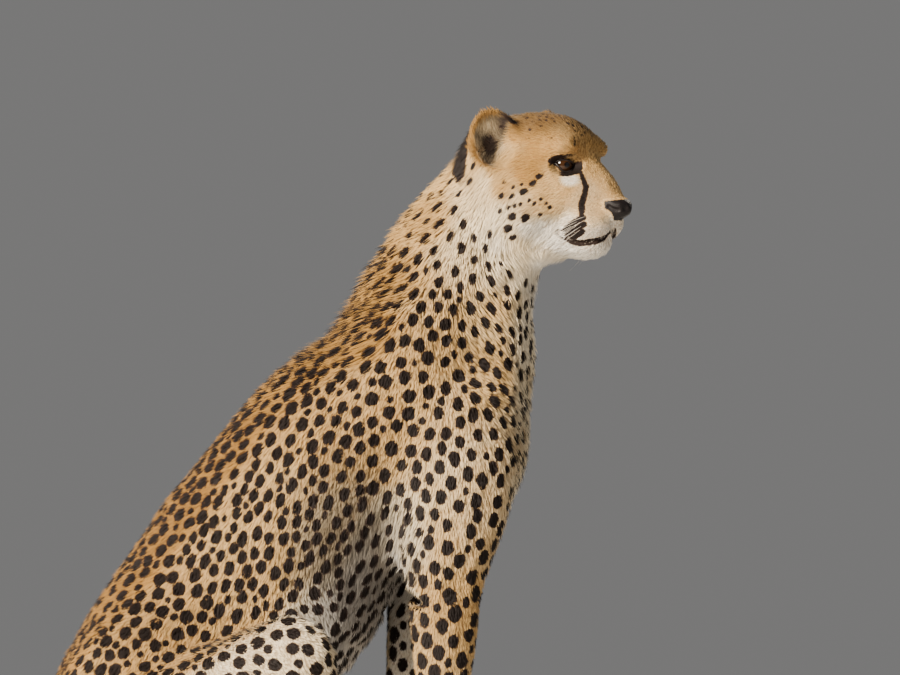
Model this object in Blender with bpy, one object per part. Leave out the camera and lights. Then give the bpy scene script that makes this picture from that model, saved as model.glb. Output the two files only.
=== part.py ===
"""A cheetah sitting upright with its head turned a little to its right, at life size.

Frame: metres. +X is where the chest faces, +Y is the animal's left, +Z is up. The origin is on
the floor, under the middle of the bounding box.

The flesh is built as a clay figure is. Rows of oval sections make the spine, limbs and tail, and
egg-shaped masses make the muscles, skull and toes, each blended into the last over its own
distance. Each group gets one closed skin, and is parted at the joints with thin flat cuts. The
sections reach the tips of the coat.
"""

import math

import bmesh
import bpy
import numpy as np
from mathutils import Euler, Matrix, Vector

# ---------------------------------------------------------------- driving dimensions, in metres
GAP = 0.0003  # between two nodes that meet
SIDES = {"right": -1, "left": 1}  # sign of Y

HEAD_YAW = -34.0  # degrees: the face turns to the animal's right
HEAD_ORIGIN = (0.362, -0.062, 0.906)  # midway between the eyes
HEAD_FRAME = Matrix.Translation(HEAD_ORIGIN) @ Matrix.Rotation(math.radians(HEAD_YAW), 4, "Z")

EYE_RADIUS = 0.0165
EYE_CENTRE = (-0.0030, 0.0270, 0.0)  # of the left eye, in the head's frame
BLACK_SKIN = (0.010, 0.007, 0.006)
AMBER = (0.180, 0.070, 0.012)
GOLDEN_COAT = (0.480, 0.300, 0.130)
CREAM_COAT = (0.560, 0.440, 0.280)

BODY_CELL = 0.0070
HEAD_CELL = 0.0032
FOOT_CELL = 0.0030
TRIANGLES = {"body": 2500, "head": 2400, "foot": 420}

# Oval sections of the spine from skull to rump: x, y, z, half depth, half width.
SPINE = [
    (0.262, -0.012, 0.862, 0.081, 0.062),
    (0.226, -0.004, 0.800, 0.098, 0.066),
    (0.196, 0.000, 0.728, 0.114, 0.072),
    (0.175, 0.000, 0.650, 0.138, 0.087),
    (0.140, 0.000, 0.576, 0.152, 0.100),
    (0.072, 0.000, 0.524, 0.154, 0.106),
    (0.007, 0.000, 0.447, 0.156, 0.104),
    (-0.056, 0.000, 0.354, 0.165, 0.096),
    (-0.138, 0.000, 0.278, 0.142, 0.097),
    (-0.206, 0.000, 0.208, 0.118, 0.102),
    (-0.250, 0.000, 0.135, 0.102, 0.098),
    (-0.272, 0.000, 0.066, 0.080, 0.080),
]

# One foreleg and one hind leg, as on the left side, where Y is positive.
UPPER_ARM = [
    (0.205, 0.078, 0.580, 0.052, 0.030),
    (0.212, 0.083, 0.520, 0.070, 0.038),
    (0.203, 0.078, 0.455, 0.072, 0.041),
    (0.193, 0.070, 0.400, 0.060, 0.038),
]
FOREARM = [
    (0.193, 0.070, 0.415, 0.061, 0.038),
    (0.190, 0.066, 0.345, 0.050, 0.034),
    (0.190, 0.063, 0.285, 0.044, 0.031),
    (0.188, 0.061, 0.235, 0.037, 0.027),
    (0.187, 0.060, 0.190, 0.030, 0.025),
    (0.188, 0.060, 0.145, 0.028, 0.026),
    (0.194, 0.060, 0.095, 0.026, 0.026),
    (0.204, 0.060, 0.050, 0.029, 0.031),
]
LEFT_FORELEG_BACK = 0.068  # the left forepaw is planted this far behind the right one
THIGH = [
    (-0.245, 0.070, 0.150, 0.100, 0.055),
    (-0.185, 0.088, 0.168, 0.093, 0.062),
    (-0.115, 0.104, 0.198, 0.081, 0.062),
    (-0.055, 0.115, 0.234, 0.067, 0.056),
    (-0.004, 0.122, 0.266, 0.057, 0.047),
]
SHANK = [
    (0.002, 0.122, 0.262, 0.051, 0.042),
    (-0.022, 0.121, 0.215, 0.057, 0.042),
    (-0.052, 0.118, 0.155, 0.050, 0.037),
    (-0.082, 0.115, 0.095, 0.035, 0.028),
    (-0.098, 0.114, 0.048, 0.027, 0.023),
]
HIND_FOOT = [
    (-0.118, 0.114, 0.0215, 0.023, 0.020),
    (-0.085, 0.114, 0.0255, 0.027, 0.022),
    (-0.020, 0.116, 0.0205, 0.022, 0.023),
    (0.040, 0.119, 0.0215, 0.023, 0.026),
    (0.080, 0.121, 0.0225, 0.024, 0.031),
]
TAIL = [
    (-0.285, 0.000, 0.110, 0.052, 0.046),
    (-0.342, 0.004, 0.064, 0.039, 0.037),
    (-0.397, 0.030, 0.033, 0.030, 0.029),
    (-0.440, 0.085, 0.025, 0.026, 0.026),
    (-0.446, 0.155, 0.024, 0.025, 0.025),
    (-0.412, 0.222, 0.023, 0.024, 0.024),
    (-0.345, 0.262, 0.023, 0.025, 0.025),
    (-0.265, 0.276, 0.023, 0.026, 0.027),
    (-0.190, 0.268, 0.023, 0.026, 0.028),
    (-0.140, 0.250, 0.021, 0.023, 0.025),
    (-0.110, 0.234, 0.015, 0.015, 0.016),
]
TOES = [(-0.0280, -0.008, 0.0112), (-0.0098, 0.0, 0.0118),
        (0.0098, 0.0, 0.0118), (0.0280, -0.008, 0.0112)]  # across, ahead, half width
BALL_HEIGHT = 0.0205  # of the middle of a paw, a little under its half thickness
BALL_HALF = (0.042, 0.033, 0.024)
TOE_AHEAD, TOE_DROP = 0.034, 0.0045  # of a toe's middle from the ball's
TOE_LENGTH, TOE_HEIGHT = 0.026, 0.0175  # half sizes
CLAW_AHEAD, CLAW_DROP = 0.062, 0.009
CLAW_HALF = (0.0060, 0.0030, 0.0040)
CLAW_POINT = 25  # degrees down
CLAW_SPREAD = 1.08  # how much wider the claws stand than the toes
SPLAY = 340  # degrees that a toe turns out, for each metre that it stands from the middle line

# Egg-shaped masses: centre, half sizes, degrees turned about X, Y and Z, and the distance over
# which each blends into the masses before it. Those of the head are in its own frame, X ahead.
# PAIRS are on the left side, and are repeated on the right.
CHEEK_PAIRS = [
    ((-0.050, 0.040, -0.024), (0.050, 0.028, 0.046), (0, 0, -8), 0.030),  # cheekbone
    ((-0.074, 0.036, -0.062), (0.052, 0.034, 0.046), (0, 0, 0), 0.030),  # ruff at the jaw's corner
]
SKULL = [
    ((-0.078, 0.000, 0.008), (0.074, 0.057, 0.062), (0, 0, 0), 0.030),  # cranium
    ((-0.028, 0.000, 0.018), (0.056, 0.049, 0.047), (0, 0, 0), 0.030),  # forehead
    ((-0.062, 0.000, -0.078), (0.056, 0.044, 0.046), (0, 0, 0), 0.030),  # root of the tongue
]
FACE = [
    ((-0.008, 0.000, -0.090), (0.058, 0.034, 0.033), (0, 0, 0), 0.024),  # lower jaw
    ((0.024, 0.000, -0.102), (0.028, 0.024, 0.021), (0, 0, 0), 0.012),  # chin
    ((0.020, 0.000, -0.036), (0.052, 0.032, 0.036), (0, 40, 0), 0.022),  # upper jaw
    ((0.033, 0.000, -0.031), (0.050, 0.020, 0.023), (0, 48, 0), 0.016),  # bridge of the nose
]
FACE_PAIRS = [
    ((0.003, 0.033, 0.022), (0.021, 0.023, 0.015), (0, 0, -35), 0.018),  # brow
    ((0.004, 0.034, -0.036), (0.034, 0.018, 0.030), (0, 0, -22), 0.022),  # under the eye
    ((0.033, 0.0180, -0.073), (0.031, 0.0220, 0.0230), (0, 14, -16), 0.010),  # whisker pad
]
NOSE = ((0.0662, 0.000, -0.0548), (0.0205, 0.0195, 0.0145), (0, 12, 0), 0.008)
EYE_HOLLOW = ((0.0130, 0.0385, -0.001), (0.0120, 0.0185, 0.0130), (0, 0, 37), 0.008)
EAR_PAIRS = [
    ((-0.1190, 0.060, 0.006), (0.0270, 0.0200, 0.0490), (0, 17, 0), 0.014),  # back, into the mane
    ((-0.099, 0.050, 0.006), (0.0260, 0.0260, 0.0400), (-10, 0, 40), 0.012),  # root and back
    ((-0.084, 0.063, 0.031), (0.0170, 0.0355, 0.0450), (-12, 0, 55), 0.010),  # round pinna
]
EAR_CUP = ((-0.0770, 0.0730, 0.034), (0.0180, 0.0275, 0.0360), (-12, 0, 55), 0.008)

# Muscles of the trunk on the left side, in the model's frame.
MUSCLES = [
    ((0.140, 0.056, 0.640), (0.065, 0.040, 0.105), (0, 25, 0), 0.040),  # shoulder blade
    ((0.235, 0.040, 0.540), (0.066, 0.050, 0.095), (0, 0, 0), 0.030),  # breast
    ((-0.205, 0.062, 0.225), (0.085, 0.050, 0.100), (0, 35, 0), 0.040),  # haunch
]
LIMB_BLEND = 0.030
TOE_BLEND = 0.006


# ---------------------------------------------------------------- clay
def turned(degrees):
    """A rotation about X, then Y, then Z, as rows for numpy."""
    return np.array(Euler([math.radians(a) for a in degrees]).to_matrix())


def on_side(centre, turn, side):
    """The centre and turn of a left-hand mass, put on the given side."""
    x, y, z = centre
    a, b, c = turn
    return (x, side * y, z), (side * a, b, side * c)


def mass(centre, radii, turn, frame=Matrix.Identity(4)):
    """One egg as centre, half sizes and axes, the axes in columns."""
    axes = np.array(frame.to_3x3()) @ turned(turn)
    return np.array(frame @ Vector(centre)), np.array(radii), axes


def smooth_rows(rows, steps=4):
    """Catmull-Rom rows between the given ones, so that few sections make a fair curve."""
    rows = np.array(rows, float)
    ends = np.vstack([2 * rows[0] - rows[1], rows, 2 * rows[-1] - rows[-2]])
    out = []
    for a, b, c, d in zip(ends, ends[1:], ends[2:], ends[3:]):
        for t in np.arange(steps) / steps:
            curve = (2 * a - 5 * b + 4 * c - d) * t * t + (3 * b - a - 3 * c + d) * t**3
            out.append(b + 0.5 * ((c - a) * t + curve))
    return np.array(out + [rows[-1]])


def tube(rows):
    """Closely set eggs along a row of sections. Depth lies in the upright plane of the path."""
    rows = smooth_rows(rows)
    along = np.gradient(rows[:, :3], axis=0)
    eggs = []
    for row, forward in zip(rows, along):
        forward = forward / np.linalg.norm(forward)
        level = math.hypot(forward[0], forward[1])
        side = np.array([-forward[1], forward[0], 0]) / level if level > 0.5 else np.array([0, 1, 0])
        side = side - forward * side.dot(forward)
        side /= np.linalg.norm(side)
        up = np.cross(forward, side)
        depth, width = row[3:]
        eggs.append((row[:3], np.array([min(depth, width), width, depth]),
                     np.column_stack([forward, side, up])))
    return eggs


def limb(rows, side, back=0.0):
    """Rows of a left limb put on the given side, and moved back the more the lower they are."""
    shoulder = UPPER_ARM[0][2]
    return [(x - back * (shoulder - z) / shoulder, side * y, z, depth, width)
            for x, y, z, depth, width in rows]


class Clay:
    """A block of space on a grid, that holds the distance to the clay's surface, less than 0
    inside. Masses are added to it and cut from it."""

    def __init__(self, low, high, cell):
        self.low, self.cell = np.array(low), cell
        self.axes = [np.arange(a, b, cell) for a, b in zip(low, high)]
        self.depth = np.full([len(a) for a in self.axes], 1.0)

    def near(self, eggs, margin):
        """The part of the grid about these eggs, and the distance to their surface there."""
        reach = [np.abs(axes) @ radii + margin for _, radii, axes in eggs]
        low = np.min([egg[0] - r for egg, r in zip(eggs, reach)], axis=0)
        high = np.max([egg[0] + r for egg, r in zip(eggs, reach)], axis=0)
        part = tuple(slice(*np.searchsorted(a, (lo, hi))) for a, lo, hi in zip(self.axes, low, high))
        places = np.stack(np.meshgrid(*[a[s] for a, s in zip(self.axes, part)], indexing="ij"), -1)
        distance = np.full(places.shape[:3], 1.0)
        for centre, radii, axes in eggs:
            local = (places - centre) @ axes
            out = np.linalg.norm(local / radii, axis=-1)
            slope = np.linalg.norm(local / radii**2, axis=-1)
            distance = np.minimum(distance, out * (out - 1) / np.maximum(slope, 1e-9))
        return part, distance

    def add(self, eggs, blend):
        part, distance = self.near(eggs, 2 * blend + self.cell)
        held = self.depth[part]
        overlap = np.maximum(blend - np.abs(held - distance), 0) / blend
        self.depth[part] = np.minimum(held, distance) - overlap**2 * blend / 4

    def cut(self, eggs, blend):
        part, distance = self.near(eggs, 2 * blend + self.cell)
        held = self.depth[part]
        overlap = np.maximum(blend - np.abs(held + distance), 0) / blend
        self.depth[part] = np.maximum(held, -distance) + overlap**2 * blend / 4

    def add_masses(self, masses, frame=Matrix.Identity(4)):
        for centre, radii, turn, blend in masses:
            self.add([mass(centre, radii, turn, frame)], blend)

    def add_pairs(self, masses, frame=Matrix.Identity(4)):
        for centre, radii, turn, blend in masses:
            for side in SIDES.values():
                place, lean = on_side(centre, turn, side)
                self.add([mass(place, radii, lean, frame)], blend)

    def cut_pair(self, hollow, frame=Matrix.Identity(4)):
        centre, radii, turn, blend = hollow
        for side in SIDES.values():
            place, lean = on_side(centre, turn, side)
            self.cut([mass(place, radii, lean, frame)], blend)

    def fill_pinches(self):
        """Fills the four grid points round each place where the clay would touch itself only
        along an edge, so that the skin has two faces at every edge."""
        for u, v in ((0, 1), (1, 2), (0, 2)):
            corners = []
            for i, j in ((0, 0), (1, 1), (0, 1), (1, 0)):
                pick = [slice(None)] * 3
                pick[u] = slice(i, i - 1 or None)
                pick[v] = slice(j, j - 1 or None)
                corners.append(tuple(pick))
            a, d, b, c = [self.depth[pick] < 0 for pick in corners]
            pinched = (a == d) & (b == c) & (a != b)
            for pick in corners:
                held = self.depth[pick]
                held[pinched & (held >= 0)] = -self.cell / 10

    def skin(self, name):
        """A closed mesh at the clay's surface: a point in each grid cell that the surface
        crosses, and a face across each grid edge that it crosses."""
        for _ in range(4):
            self.fill_pinches()
        depth = np.pad(self.depth[1:-1, 1:-1, 1:-1], 1, constant_values=self.cell)
        shape = np.array(depth.shape) - 1
        total, count = np.zeros((*shape, 3)), np.zeros(shape)
        crossings = []
        for axis in range(3):
            first = [slice(None)] * 3
            second = [slice(None)] * 3
            first[axis], second[axis] = slice(None, -1), slice(1, None)
            a, b = depth[tuple(first)], depth[tuple(second)]
            crossed = (a < 0) != (b < 0)
            along = np.where(crossed, a / np.where(crossed, a - b, 1), 0)
            crossings.append((crossed, a < 0))
            u, v = [other for other in range(3) if other != axis]
            for i in (0, 1):
                for j in (0, 1):
                    pick = [slice(None)] * 3
                    pick[u] = slice(i, i + shape[u])
                    pick[v] = slice(j, j + shape[v])
                    hit, where = crossed[tuple(pick)], along[tuple(pick)]
                    count += hit
                    total[..., axis] += where
                    total[..., u] += hit * i
                    total[..., v] += hit * j
        cells = count > 0
        index = np.full(shape, -1)
        index[cells] = np.arange(cells.sum())
        points = (np.argwhere(cells) + total[cells] / count[cells][:, None]) * self.cell + self.low
        faces = []
        for axis, (crossed, inside) in enumerate(crossings):
            u, v = (axis + 1) % 3, (axis + 2) % 3
            for edge in np.argwhere(crossed):
                ring = []
                for i, j in ((1, 1), (0, 1), (0, 0), (1, 0)):
                    cell = edge.copy()
                    cell[u] -= i
                    cell[v] -= j
                    ring.append(index[tuple(cell)])
                faces.append(ring if inside[tuple(edge)] else ring[::-1])
        mesh = bpy.data.meshes.new(name)
        mesh.from_pydata(points.tolist(), [], faces)
        obj = bpy.data.objects.new(name, mesh)
        bpy.context.scene.collection.objects.link(obj)
        return obj


# ---------------------------------------------------------------- meshes
def object_of(name, bm):
    """A new object of this bmesh, with its faces pointing out."""
    bmesh.ops.recalc_face_normals(bm, faces=bm.faces)
    mesh = bpy.data.meshes.new(name)
    bm.to_mesh(mesh)
    bm.free()
    obj = bpy.data.objects.new(name, mesh)
    bpy.context.scene.collection.objects.link(obj)
    return obj


def apply_modifiers(obj):
    """Replaces the object's mesh by what its modifiers make of it."""
    graph = bpy.context.evaluated_depsgraph_get()
    mesh = bpy.data.meshes.new_from_object(obj.evaluated_get(graph), depsgraph=graph)
    obj.modifiers.clear()
    obj.data = mesh


def boolean(obj, cutter, operation):
    """Cuts the object with a cutter, and drops the cutter."""
    cutter.hide_render = True
    cutter.display_type = "WIRE"
    cut = obj.modifiers.new("cut", "BOOLEAN")
    cut.operation = operation
    cut.object = cutter
    cut.solver = "EXACT"
    apply_modifiers(obj)
    bpy.data.objects.remove(cutter)


def keep_largest(obj):
    """Drops all but the largest connected part, such as a crumb that a cut leaves."""
    bm = bmesh.new()
    bm.from_mesh(obj.data)
    left, parts = set(bm.verts), []
    while left:
        front = [left.pop()]
        part = set(front)
        while front:
            near = {edge.other_vert(vert) for vert in front for edge in vert.link_edges}
            front = list(near & left)
            left.difference_update(front)
            part.update(front)
        parts.append(part)
    keep = max(parts, key=len)
    bmesh.ops.delete(bm, geom=[v for v in bm.verts if v not in keep], context="VERTS")
    bm.to_mesh(obj.data)
    bm.free()


def thin(obj, triangles, rounds=1):
    """Smooths the grid's steps out of a skin, and brings it down to about this many triangles,
    the fewest where it is flattest."""
    smooth = obj.modifiers.new("smooth", "SMOOTH")
    smooth.factor = 0.5
    smooth.iterations = rounds
    made = sum(len(p.vertices) - 2 for p in obj.data.polygons)
    decimate = obj.modifiers.new("thin", "DECIMATE")
    decimate.ratio = min(1.0, triangles / made)
    decimate.use_collapse_triangulate = True
    apply_modifiers(obj)


def block(centre, half, turn=(0, 0, 0), frame=Matrix.Identity(4), grow=0.0):
    """A box with these half sizes, to cut with."""
    bm = bmesh.new()
    sizes = [2 * (h + grow) for h in half]
    lean = Euler([math.radians(a) for a in turn]).to_matrix().to_4x4()
    matrix = frame @ Matrix.Translation(centre) @ lean @ Matrix.Diagonal((*sizes, 1))
    bmesh.ops.create_cube(bm, size=1, matrix=matrix)
    return object_of("block", bm)


def carve(rest, name, centre, half, turn=(0, 0, 0), frame=Matrix.Identity(4)):
    """Parts the flesh inside a block off as its own node, with a gap all round the block."""
    node = bpy.data.objects.new(name, rest.data.copy())
    bpy.context.scene.collection.objects.link(node)
    boolean(node, block(centre, half, turn, frame), "INTERSECT")
    boolean(rest, block(centre, half, turn, frame, grow=GAP), "DIFFERENCE")
    keep_largest(node)
    keep_largest(rest)
    return node


def finish(obj, colour, roughness=0.8):
    """Gives the node its material, shaded round."""
    material = bpy.data.materials.new(obj.name)
    material.use_nodes = True
    shader = material.node_tree.nodes["Principled BSDF"]
    shader.inputs["Base Color"].default_value = (*colour, 1)
    shader.inputs["Roughness"].default_value = roughness
    obj.data.materials.clear()
    obj.data.materials.append(material)
    obj.data.shade_smooth()
    obj.data.set_sharp_from_angle(angle=math.radians(40))


# ---------------------------------------------------------------- the flesh, group by group
FLOOR_BLOCK = ((0, 0, -0.5), (1.5, 1.5, 0.5))
FAR = 0.40  # half size of a block that stands for half of space
HEAD_CUT = ((0.246, -0.01, 0.826), -32.0)  # a point of the cut, and how far it leans back
NECK_CUT = ((0.175, 0.0, 0.705), -66.0)
CHEST_CUT = ((0.030, 0.0, 0.475), -43.0)
LOIN_CUT = ((-0.125, 0.0, 0.290), -49.0)
WRIST_CUT = 0.078  # height of the cut between forearm and paw
HOCK_CUT = 0.064


def ahead_of(cut):
    """Centre, half sizes and turn of a block that fills the half of space ahead of a cut."""
    point, lean = cut
    turn = math.radians(lean)
    ahead = Vector((math.cos(turn), 0, -math.sin(turn)))
    return Vector(point) + ahead * FAR, (FAR, FAR, FAR), (0, lean, 0)


def make_head():
    clay = Clay((0.08, -0.25, 0.60), (0.48, 0.13, 1.01), HEAD_CELL)
    clay.add(tube(SPINE[:4]), LIMB_BLEND)
    clay.add_masses(SKULL, HEAD_FRAME)
    clay.add_pairs(CHEEK_PAIRS, HEAD_FRAME)
    clay.add_masses(FACE, HEAD_FRAME)
    clay.add_pairs(FACE_PAIRS, HEAD_FRAME)
    clay.add_masses([NOSE], HEAD_FRAME)
    clay.cut_pair(EYE_HOLLOW, HEAD_FRAME)
    clay.add_pairs(EAR_PAIRS, HEAD_FRAME)
    clay.cut_pair(EAR_CUP, HEAD_FRAME)
    head = clay.skin("head")
    thin(head, TRIANGLES["head"])
    boolean(head, block(*ahead_of(HEAD_CUT)), "INTERSECT")
    keep_largest(head)
    return head


def make_body():
    clay = Clay((-0.52, -0.25, -0.10), (0.48, 0.34, 1.01), BODY_CELL)
    clay.add(tube(SPINE), LIMB_BLEND)
    clay.add_masses(SKULL, HEAD_FRAME)
    clay.add_pairs(CHEEK_PAIRS, HEAD_FRAME)
    clay.add_pairs(MUSCLES)
    for side in SIDES.values():
        back = LEFT_FORELEG_BACK if side > 0 else 0.0
        clay.add(tube(limb(UPPER_ARM, side, back)), LIMB_BLEND)
        clay.add(tube(limb(FOREARM, side, back)), LIMB_BLEND / 2)
        clay.add(tube(limb(THIGH, side)), LIMB_BLEND / 2)
        clay.add(tube(limb(SHANK, side)), LIMB_BLEND / 2)
    clay.add(tube(TAIL), LIMB_BLEND)
    body = clay.skin("body")
    thin(body, TRIANGLES["body"])
    boolean(body, block(*ahead_of(HEAD_CUT), grow=GAP), "DIFFERENCE")
    boolean(body, block(*FLOOR_BLOCK), "DIFFERENCE")
    keep_largest(body)
    return body


def make_foot(name, limbs, ball, cut):
    """A paw: the end of a limb, four toes with their claws, and a flat sole at the floor."""
    x, y, z = ball
    low = (min(row[0] for rows in limbs for row in rows) - 0.06, y - 0.06, -0.03)
    clay = Clay(low, (x + 0.10, y + 0.06, cut + 0.08), FOOT_CELL)
    for rows in limbs:
        clay.add(tube(rows), LIMB_BLEND / 2)
    clay.add([mass((x, y, z), BALL_HALF, (0, 0, 0))], LIMB_BLEND / 2)
    for across, ahead, width in TOES:
        splay = across * SPLAY
        toe = (x + TOE_AHEAD + ahead, y + across, z - TOE_DROP)
        clay.add([mass(toe, (TOE_LENGTH, width, TOE_HEIGHT), (0, 0, splay))], TOE_BLEND)
        claw = (x + CLAW_AHEAD + ahead, y + across * CLAW_SPREAD, z - CLAW_DROP)
        clay.add([mass(claw, CLAW_HALF, (0, CLAW_POINT, splay))], FOOT_CELL)
    foot = clay.skin(name)
    thin(foot, TRIANGLES["foot"])
    boolean(foot, block(*FLOOR_BLOCK), "DIFFERENCE")
    boolean(foot, block((x, y, cut / 2 - 0.5), (0.4, 0.3, cut / 2 + 0.5)), "INTERSECT")
    keep_largest(foot)
    return foot


def make_eye(name, side, grow=0.0):
    bm = bmesh.new()
    place, turn = on_side(EYE_CENTRE, (0, 90, 0), side)
    lean = Euler([math.radians(a) for a in turn]).to_matrix().to_4x4()
    matrix = HEAD_FRAME @ Matrix.Translation(place) @ lean
    bmesh.ops.create_uvsphere(bm, u_segments=14, v_segments=9, radius=EYE_RADIUS + grow,
                              matrix=matrix)
    return object_of(name, bm)


# ---------------------------------------------------------------- the whole animal
# Blocks that part the limbs and the tail, on the left side: centre, half sizes, turn.
WRIST_BLOCK = ((0.160, 0.080, WRIST_CUT - 0.2), (0.130, 0.079, 0.2), (0, 0, 0))
HOCK_BLOCK = ((0.010, 0.180, HOCK_CUT - 0.2), (0.170, 0.110, 0.2), (0, 0, 0))
FOREARM_BLOCK = ((0.230, 0.080, 0.130), (0.120, 0.079, 0.200), (0, 0, 0))
THIGH_BLOCK = ((-0.1125, 0.180, 0.209), (0.200, 0.095, 0.085), (0, -30, 0))
SHANK_BLOCK = ((-0.060, 0.180, 0.150), (0.130, 0.100, 0.150), (0, 0, 0))
EAR_BLOCK = ((-0.100, 0.118, 0.058), (0.050, 0.066, 0.078), (-14, 0, 0))
NOSE_BLOCK = ((0.080, 0.000, -0.0605), (0.024, 0.030, 0.0125), (0, 10, 0))
TAIL_BLOCKS = {
    "tail_tip": ((-0.140, 0.270, 0.020), (0.080, 0.070, 0.060)),
    "tail_side": ((-0.290, 0.270, 0.020), (0.070, 0.070, 0.060)),
    "tail_bend": ((-0.440, 0.270, 0.020), (0.080, 0.110, 0.060)),
    "tail_back": ((-0.440, 0.100, 0.020), (0.080, 0.060, 0.060)),
    "tail_base": ((-0.442, -0.010, 0.060), (0.080, 0.050, 0.100)),
}


def part_limb(rest, name, side, where):
    """Parts the flesh in a left-hand block, put on this side, off as its own node."""
    centre, half, turn = where
    place, lean = on_side(centre, turn, side)
    return carve(rest, name, place, half, lean)


for old in list(bpy.data.objects):
    bpy.data.objects.remove(old)

body = make_body()
head = make_head()
colours = {head: GOLDEN_COAT}

for name, (centre, half) in TAIL_BLOCKS.items():
    colours[carve(body, name, centre, half)] = GOLDEN_COAT

for name, side in SIDES.items():
    back = LEFT_FORELEG_BACK if side > 0 else 0.0
    for centre, half, turn in (WRIST_BLOCK, HOCK_BLOCK):
        place, _ = on_side(centre, turn, side)
        boolean(body, block(place, half, grow=GAP), "DIFFERENCE")
    forearm = part_limb(body, "forearm_" + name, side, FOREARM_BLOCK)
    thigh = part_limb(body, "thigh_" + name, side, THIGH_BLOCK)
    shank = part_limb(body, "shank_" + name, side, SHANK_BLOCK)

    wrist = limb(FOREARM[-3:], side, back)
    ball = (wrist[-1][0] + 0.012, wrist[-1][1], BALL_HEIGHT)
    forepaw = make_foot("forepaw_" + name, [wrist], ball, WRIST_CUT)
    sole = limb(HIND_FOOT, side)
    ball = (sole[-1][0] - 0.006, sole[-1][1], BALL_HEIGHT)
    hindfoot = make_foot("hindfoot_" + name, [limb(SHANK[-2:], side), sole], ball, HOCK_CUT)
    for piece in (forearm, thigh, shank, forepaw, hindfoot):
        colours[piece] = CREAM_COAT

    colours[make_eye("eye_" + name, side)] = AMBER
    boolean(head, make_eye("socket", side, grow=GAP), "DIFFERENCE")
    place, lean = on_side(EAR_BLOCK[0], EAR_BLOCK[2], side)
    colours[carve(head, "ear_" + name, place, EAR_BLOCK[1], lean, HEAD_FRAME)] = GOLDEN_COAT

colours[carve(head, "nose", *NOSE_BLOCK, HEAD_FRAME)] = BLACK_SKIN
colours[carve(body, "neck", *ahead_of(NECK_CUT))] = GOLDEN_COAT
colours[carve(body, "chest", *ahead_of(CHEST_CUT))] = GOLDEN_COAT
colours[carve(body, "loins", *ahead_of(LOIN_CUT))] = GOLDEN_COAT
body.name = "rump"
colours[body] = GOLDEN_COAT

corners = np.array([vert.co for obj in colours for vert in obj.data.vertices])
low, high = corners.min(axis=0), corners.max(axis=0)
shift = Matrix.Translation((-(low[0] + high[0]) / 2, -(low[1] + high[1]) / 2, 0))
for obj, colour in colours.items():
    obj.data.transform(shift)
    finish(obj, colour)
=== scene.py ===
"""A cheetah sitting upright, at life size, with its coat, eyes, nose, claws and whiskers.

One hide covers all the flesh of the solid model, and lies under its outline by the depth of the
coat. The coat is tufts of hair that follow its lie. Hide and tufts carry the same markings.
Metres throughout: +X is where the chest faces, +Y is the animal's left, +Z is up.
"""

import math

import bmesh
import bpy
import numpy as np
from mathutils import Euler, Matrix, Vector, kdtree
from mathutils.bvhtree import BVHTree


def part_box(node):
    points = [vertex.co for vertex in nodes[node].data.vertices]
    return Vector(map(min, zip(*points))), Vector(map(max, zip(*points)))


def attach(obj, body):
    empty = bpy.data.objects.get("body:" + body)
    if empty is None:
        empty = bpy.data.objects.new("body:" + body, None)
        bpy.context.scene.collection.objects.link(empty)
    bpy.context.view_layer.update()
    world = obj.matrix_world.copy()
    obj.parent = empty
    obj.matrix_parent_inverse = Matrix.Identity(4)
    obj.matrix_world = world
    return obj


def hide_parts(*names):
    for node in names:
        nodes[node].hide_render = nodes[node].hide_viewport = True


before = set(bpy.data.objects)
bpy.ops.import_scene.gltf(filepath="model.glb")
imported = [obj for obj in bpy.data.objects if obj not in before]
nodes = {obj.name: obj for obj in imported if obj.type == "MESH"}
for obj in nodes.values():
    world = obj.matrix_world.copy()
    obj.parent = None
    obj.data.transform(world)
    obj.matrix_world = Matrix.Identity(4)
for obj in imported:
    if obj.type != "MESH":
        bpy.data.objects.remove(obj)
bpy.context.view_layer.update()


# ---------------------------------------------------------------- the hide
# The skin of a mammal is one piece from nose to tail. It is made from the solids: joined, closed
# over with small cells, then relaxed until no facet is left. The head and the feet keep the finest
# cells, and the trunk is thinned, as it has no small forms.
SIDES = ("left", "right")
PAWS = [kind + side for kind in ("forepaw_", "hindfoot_") for side in SIDES]
SOLIDS_GROW = 0.0009  # closes the thin cuts between the solids
HIDE_CELL = 0.0028
HIDE_SHARE = 0.27  # of the cells' faces kept where the hide is thinned


def apply_modifiers(obj):
    """Replaces the object's mesh by what its modifiers make of it."""
    graph = bpy.context.evaluated_depsgraph_get()
    mesh = bpy.data.meshes.new_from_object(obj.evaluated_get(graph), depsgraph=graph)
    obj.modifiers.clear()
    obj.data = mesh


def new_object(name, data):
    obj = bpy.data.objects.new(name, data)
    bpy.context.scene.collection.objects.link(obj)
    return obj


def built(name, build):
    """A new object of the faces that were built."""
    obj = new_object(name, bpy.data.meshes.new(name))
    build.to_mesh(obj.data)
    build.free()
    return obj


def read(items, what, width=1, kind=np.float32):
    """One property of all the items, as rows where it has more than one number."""
    values = np.zeros(len(items) * width, kind)
    items.foreach_get(what, values)
    values = values.reshape(-1, width) if width > 1 else values
    return values.astype(float) if kind == np.float32 else values


def points_of(obj, what="co"):
    """The places of all vertices as rows, or their normals."""
    if what == "normal":
        return read(obj.data.vertex_normals, "vector", 3)
    return read(obj.data.vertices, "co", 3)


def move_points(obj, rows):
    obj.data.vertices.foreach_set("co", rows.astype(np.float32).ravel())
    obj.data.update()


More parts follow.
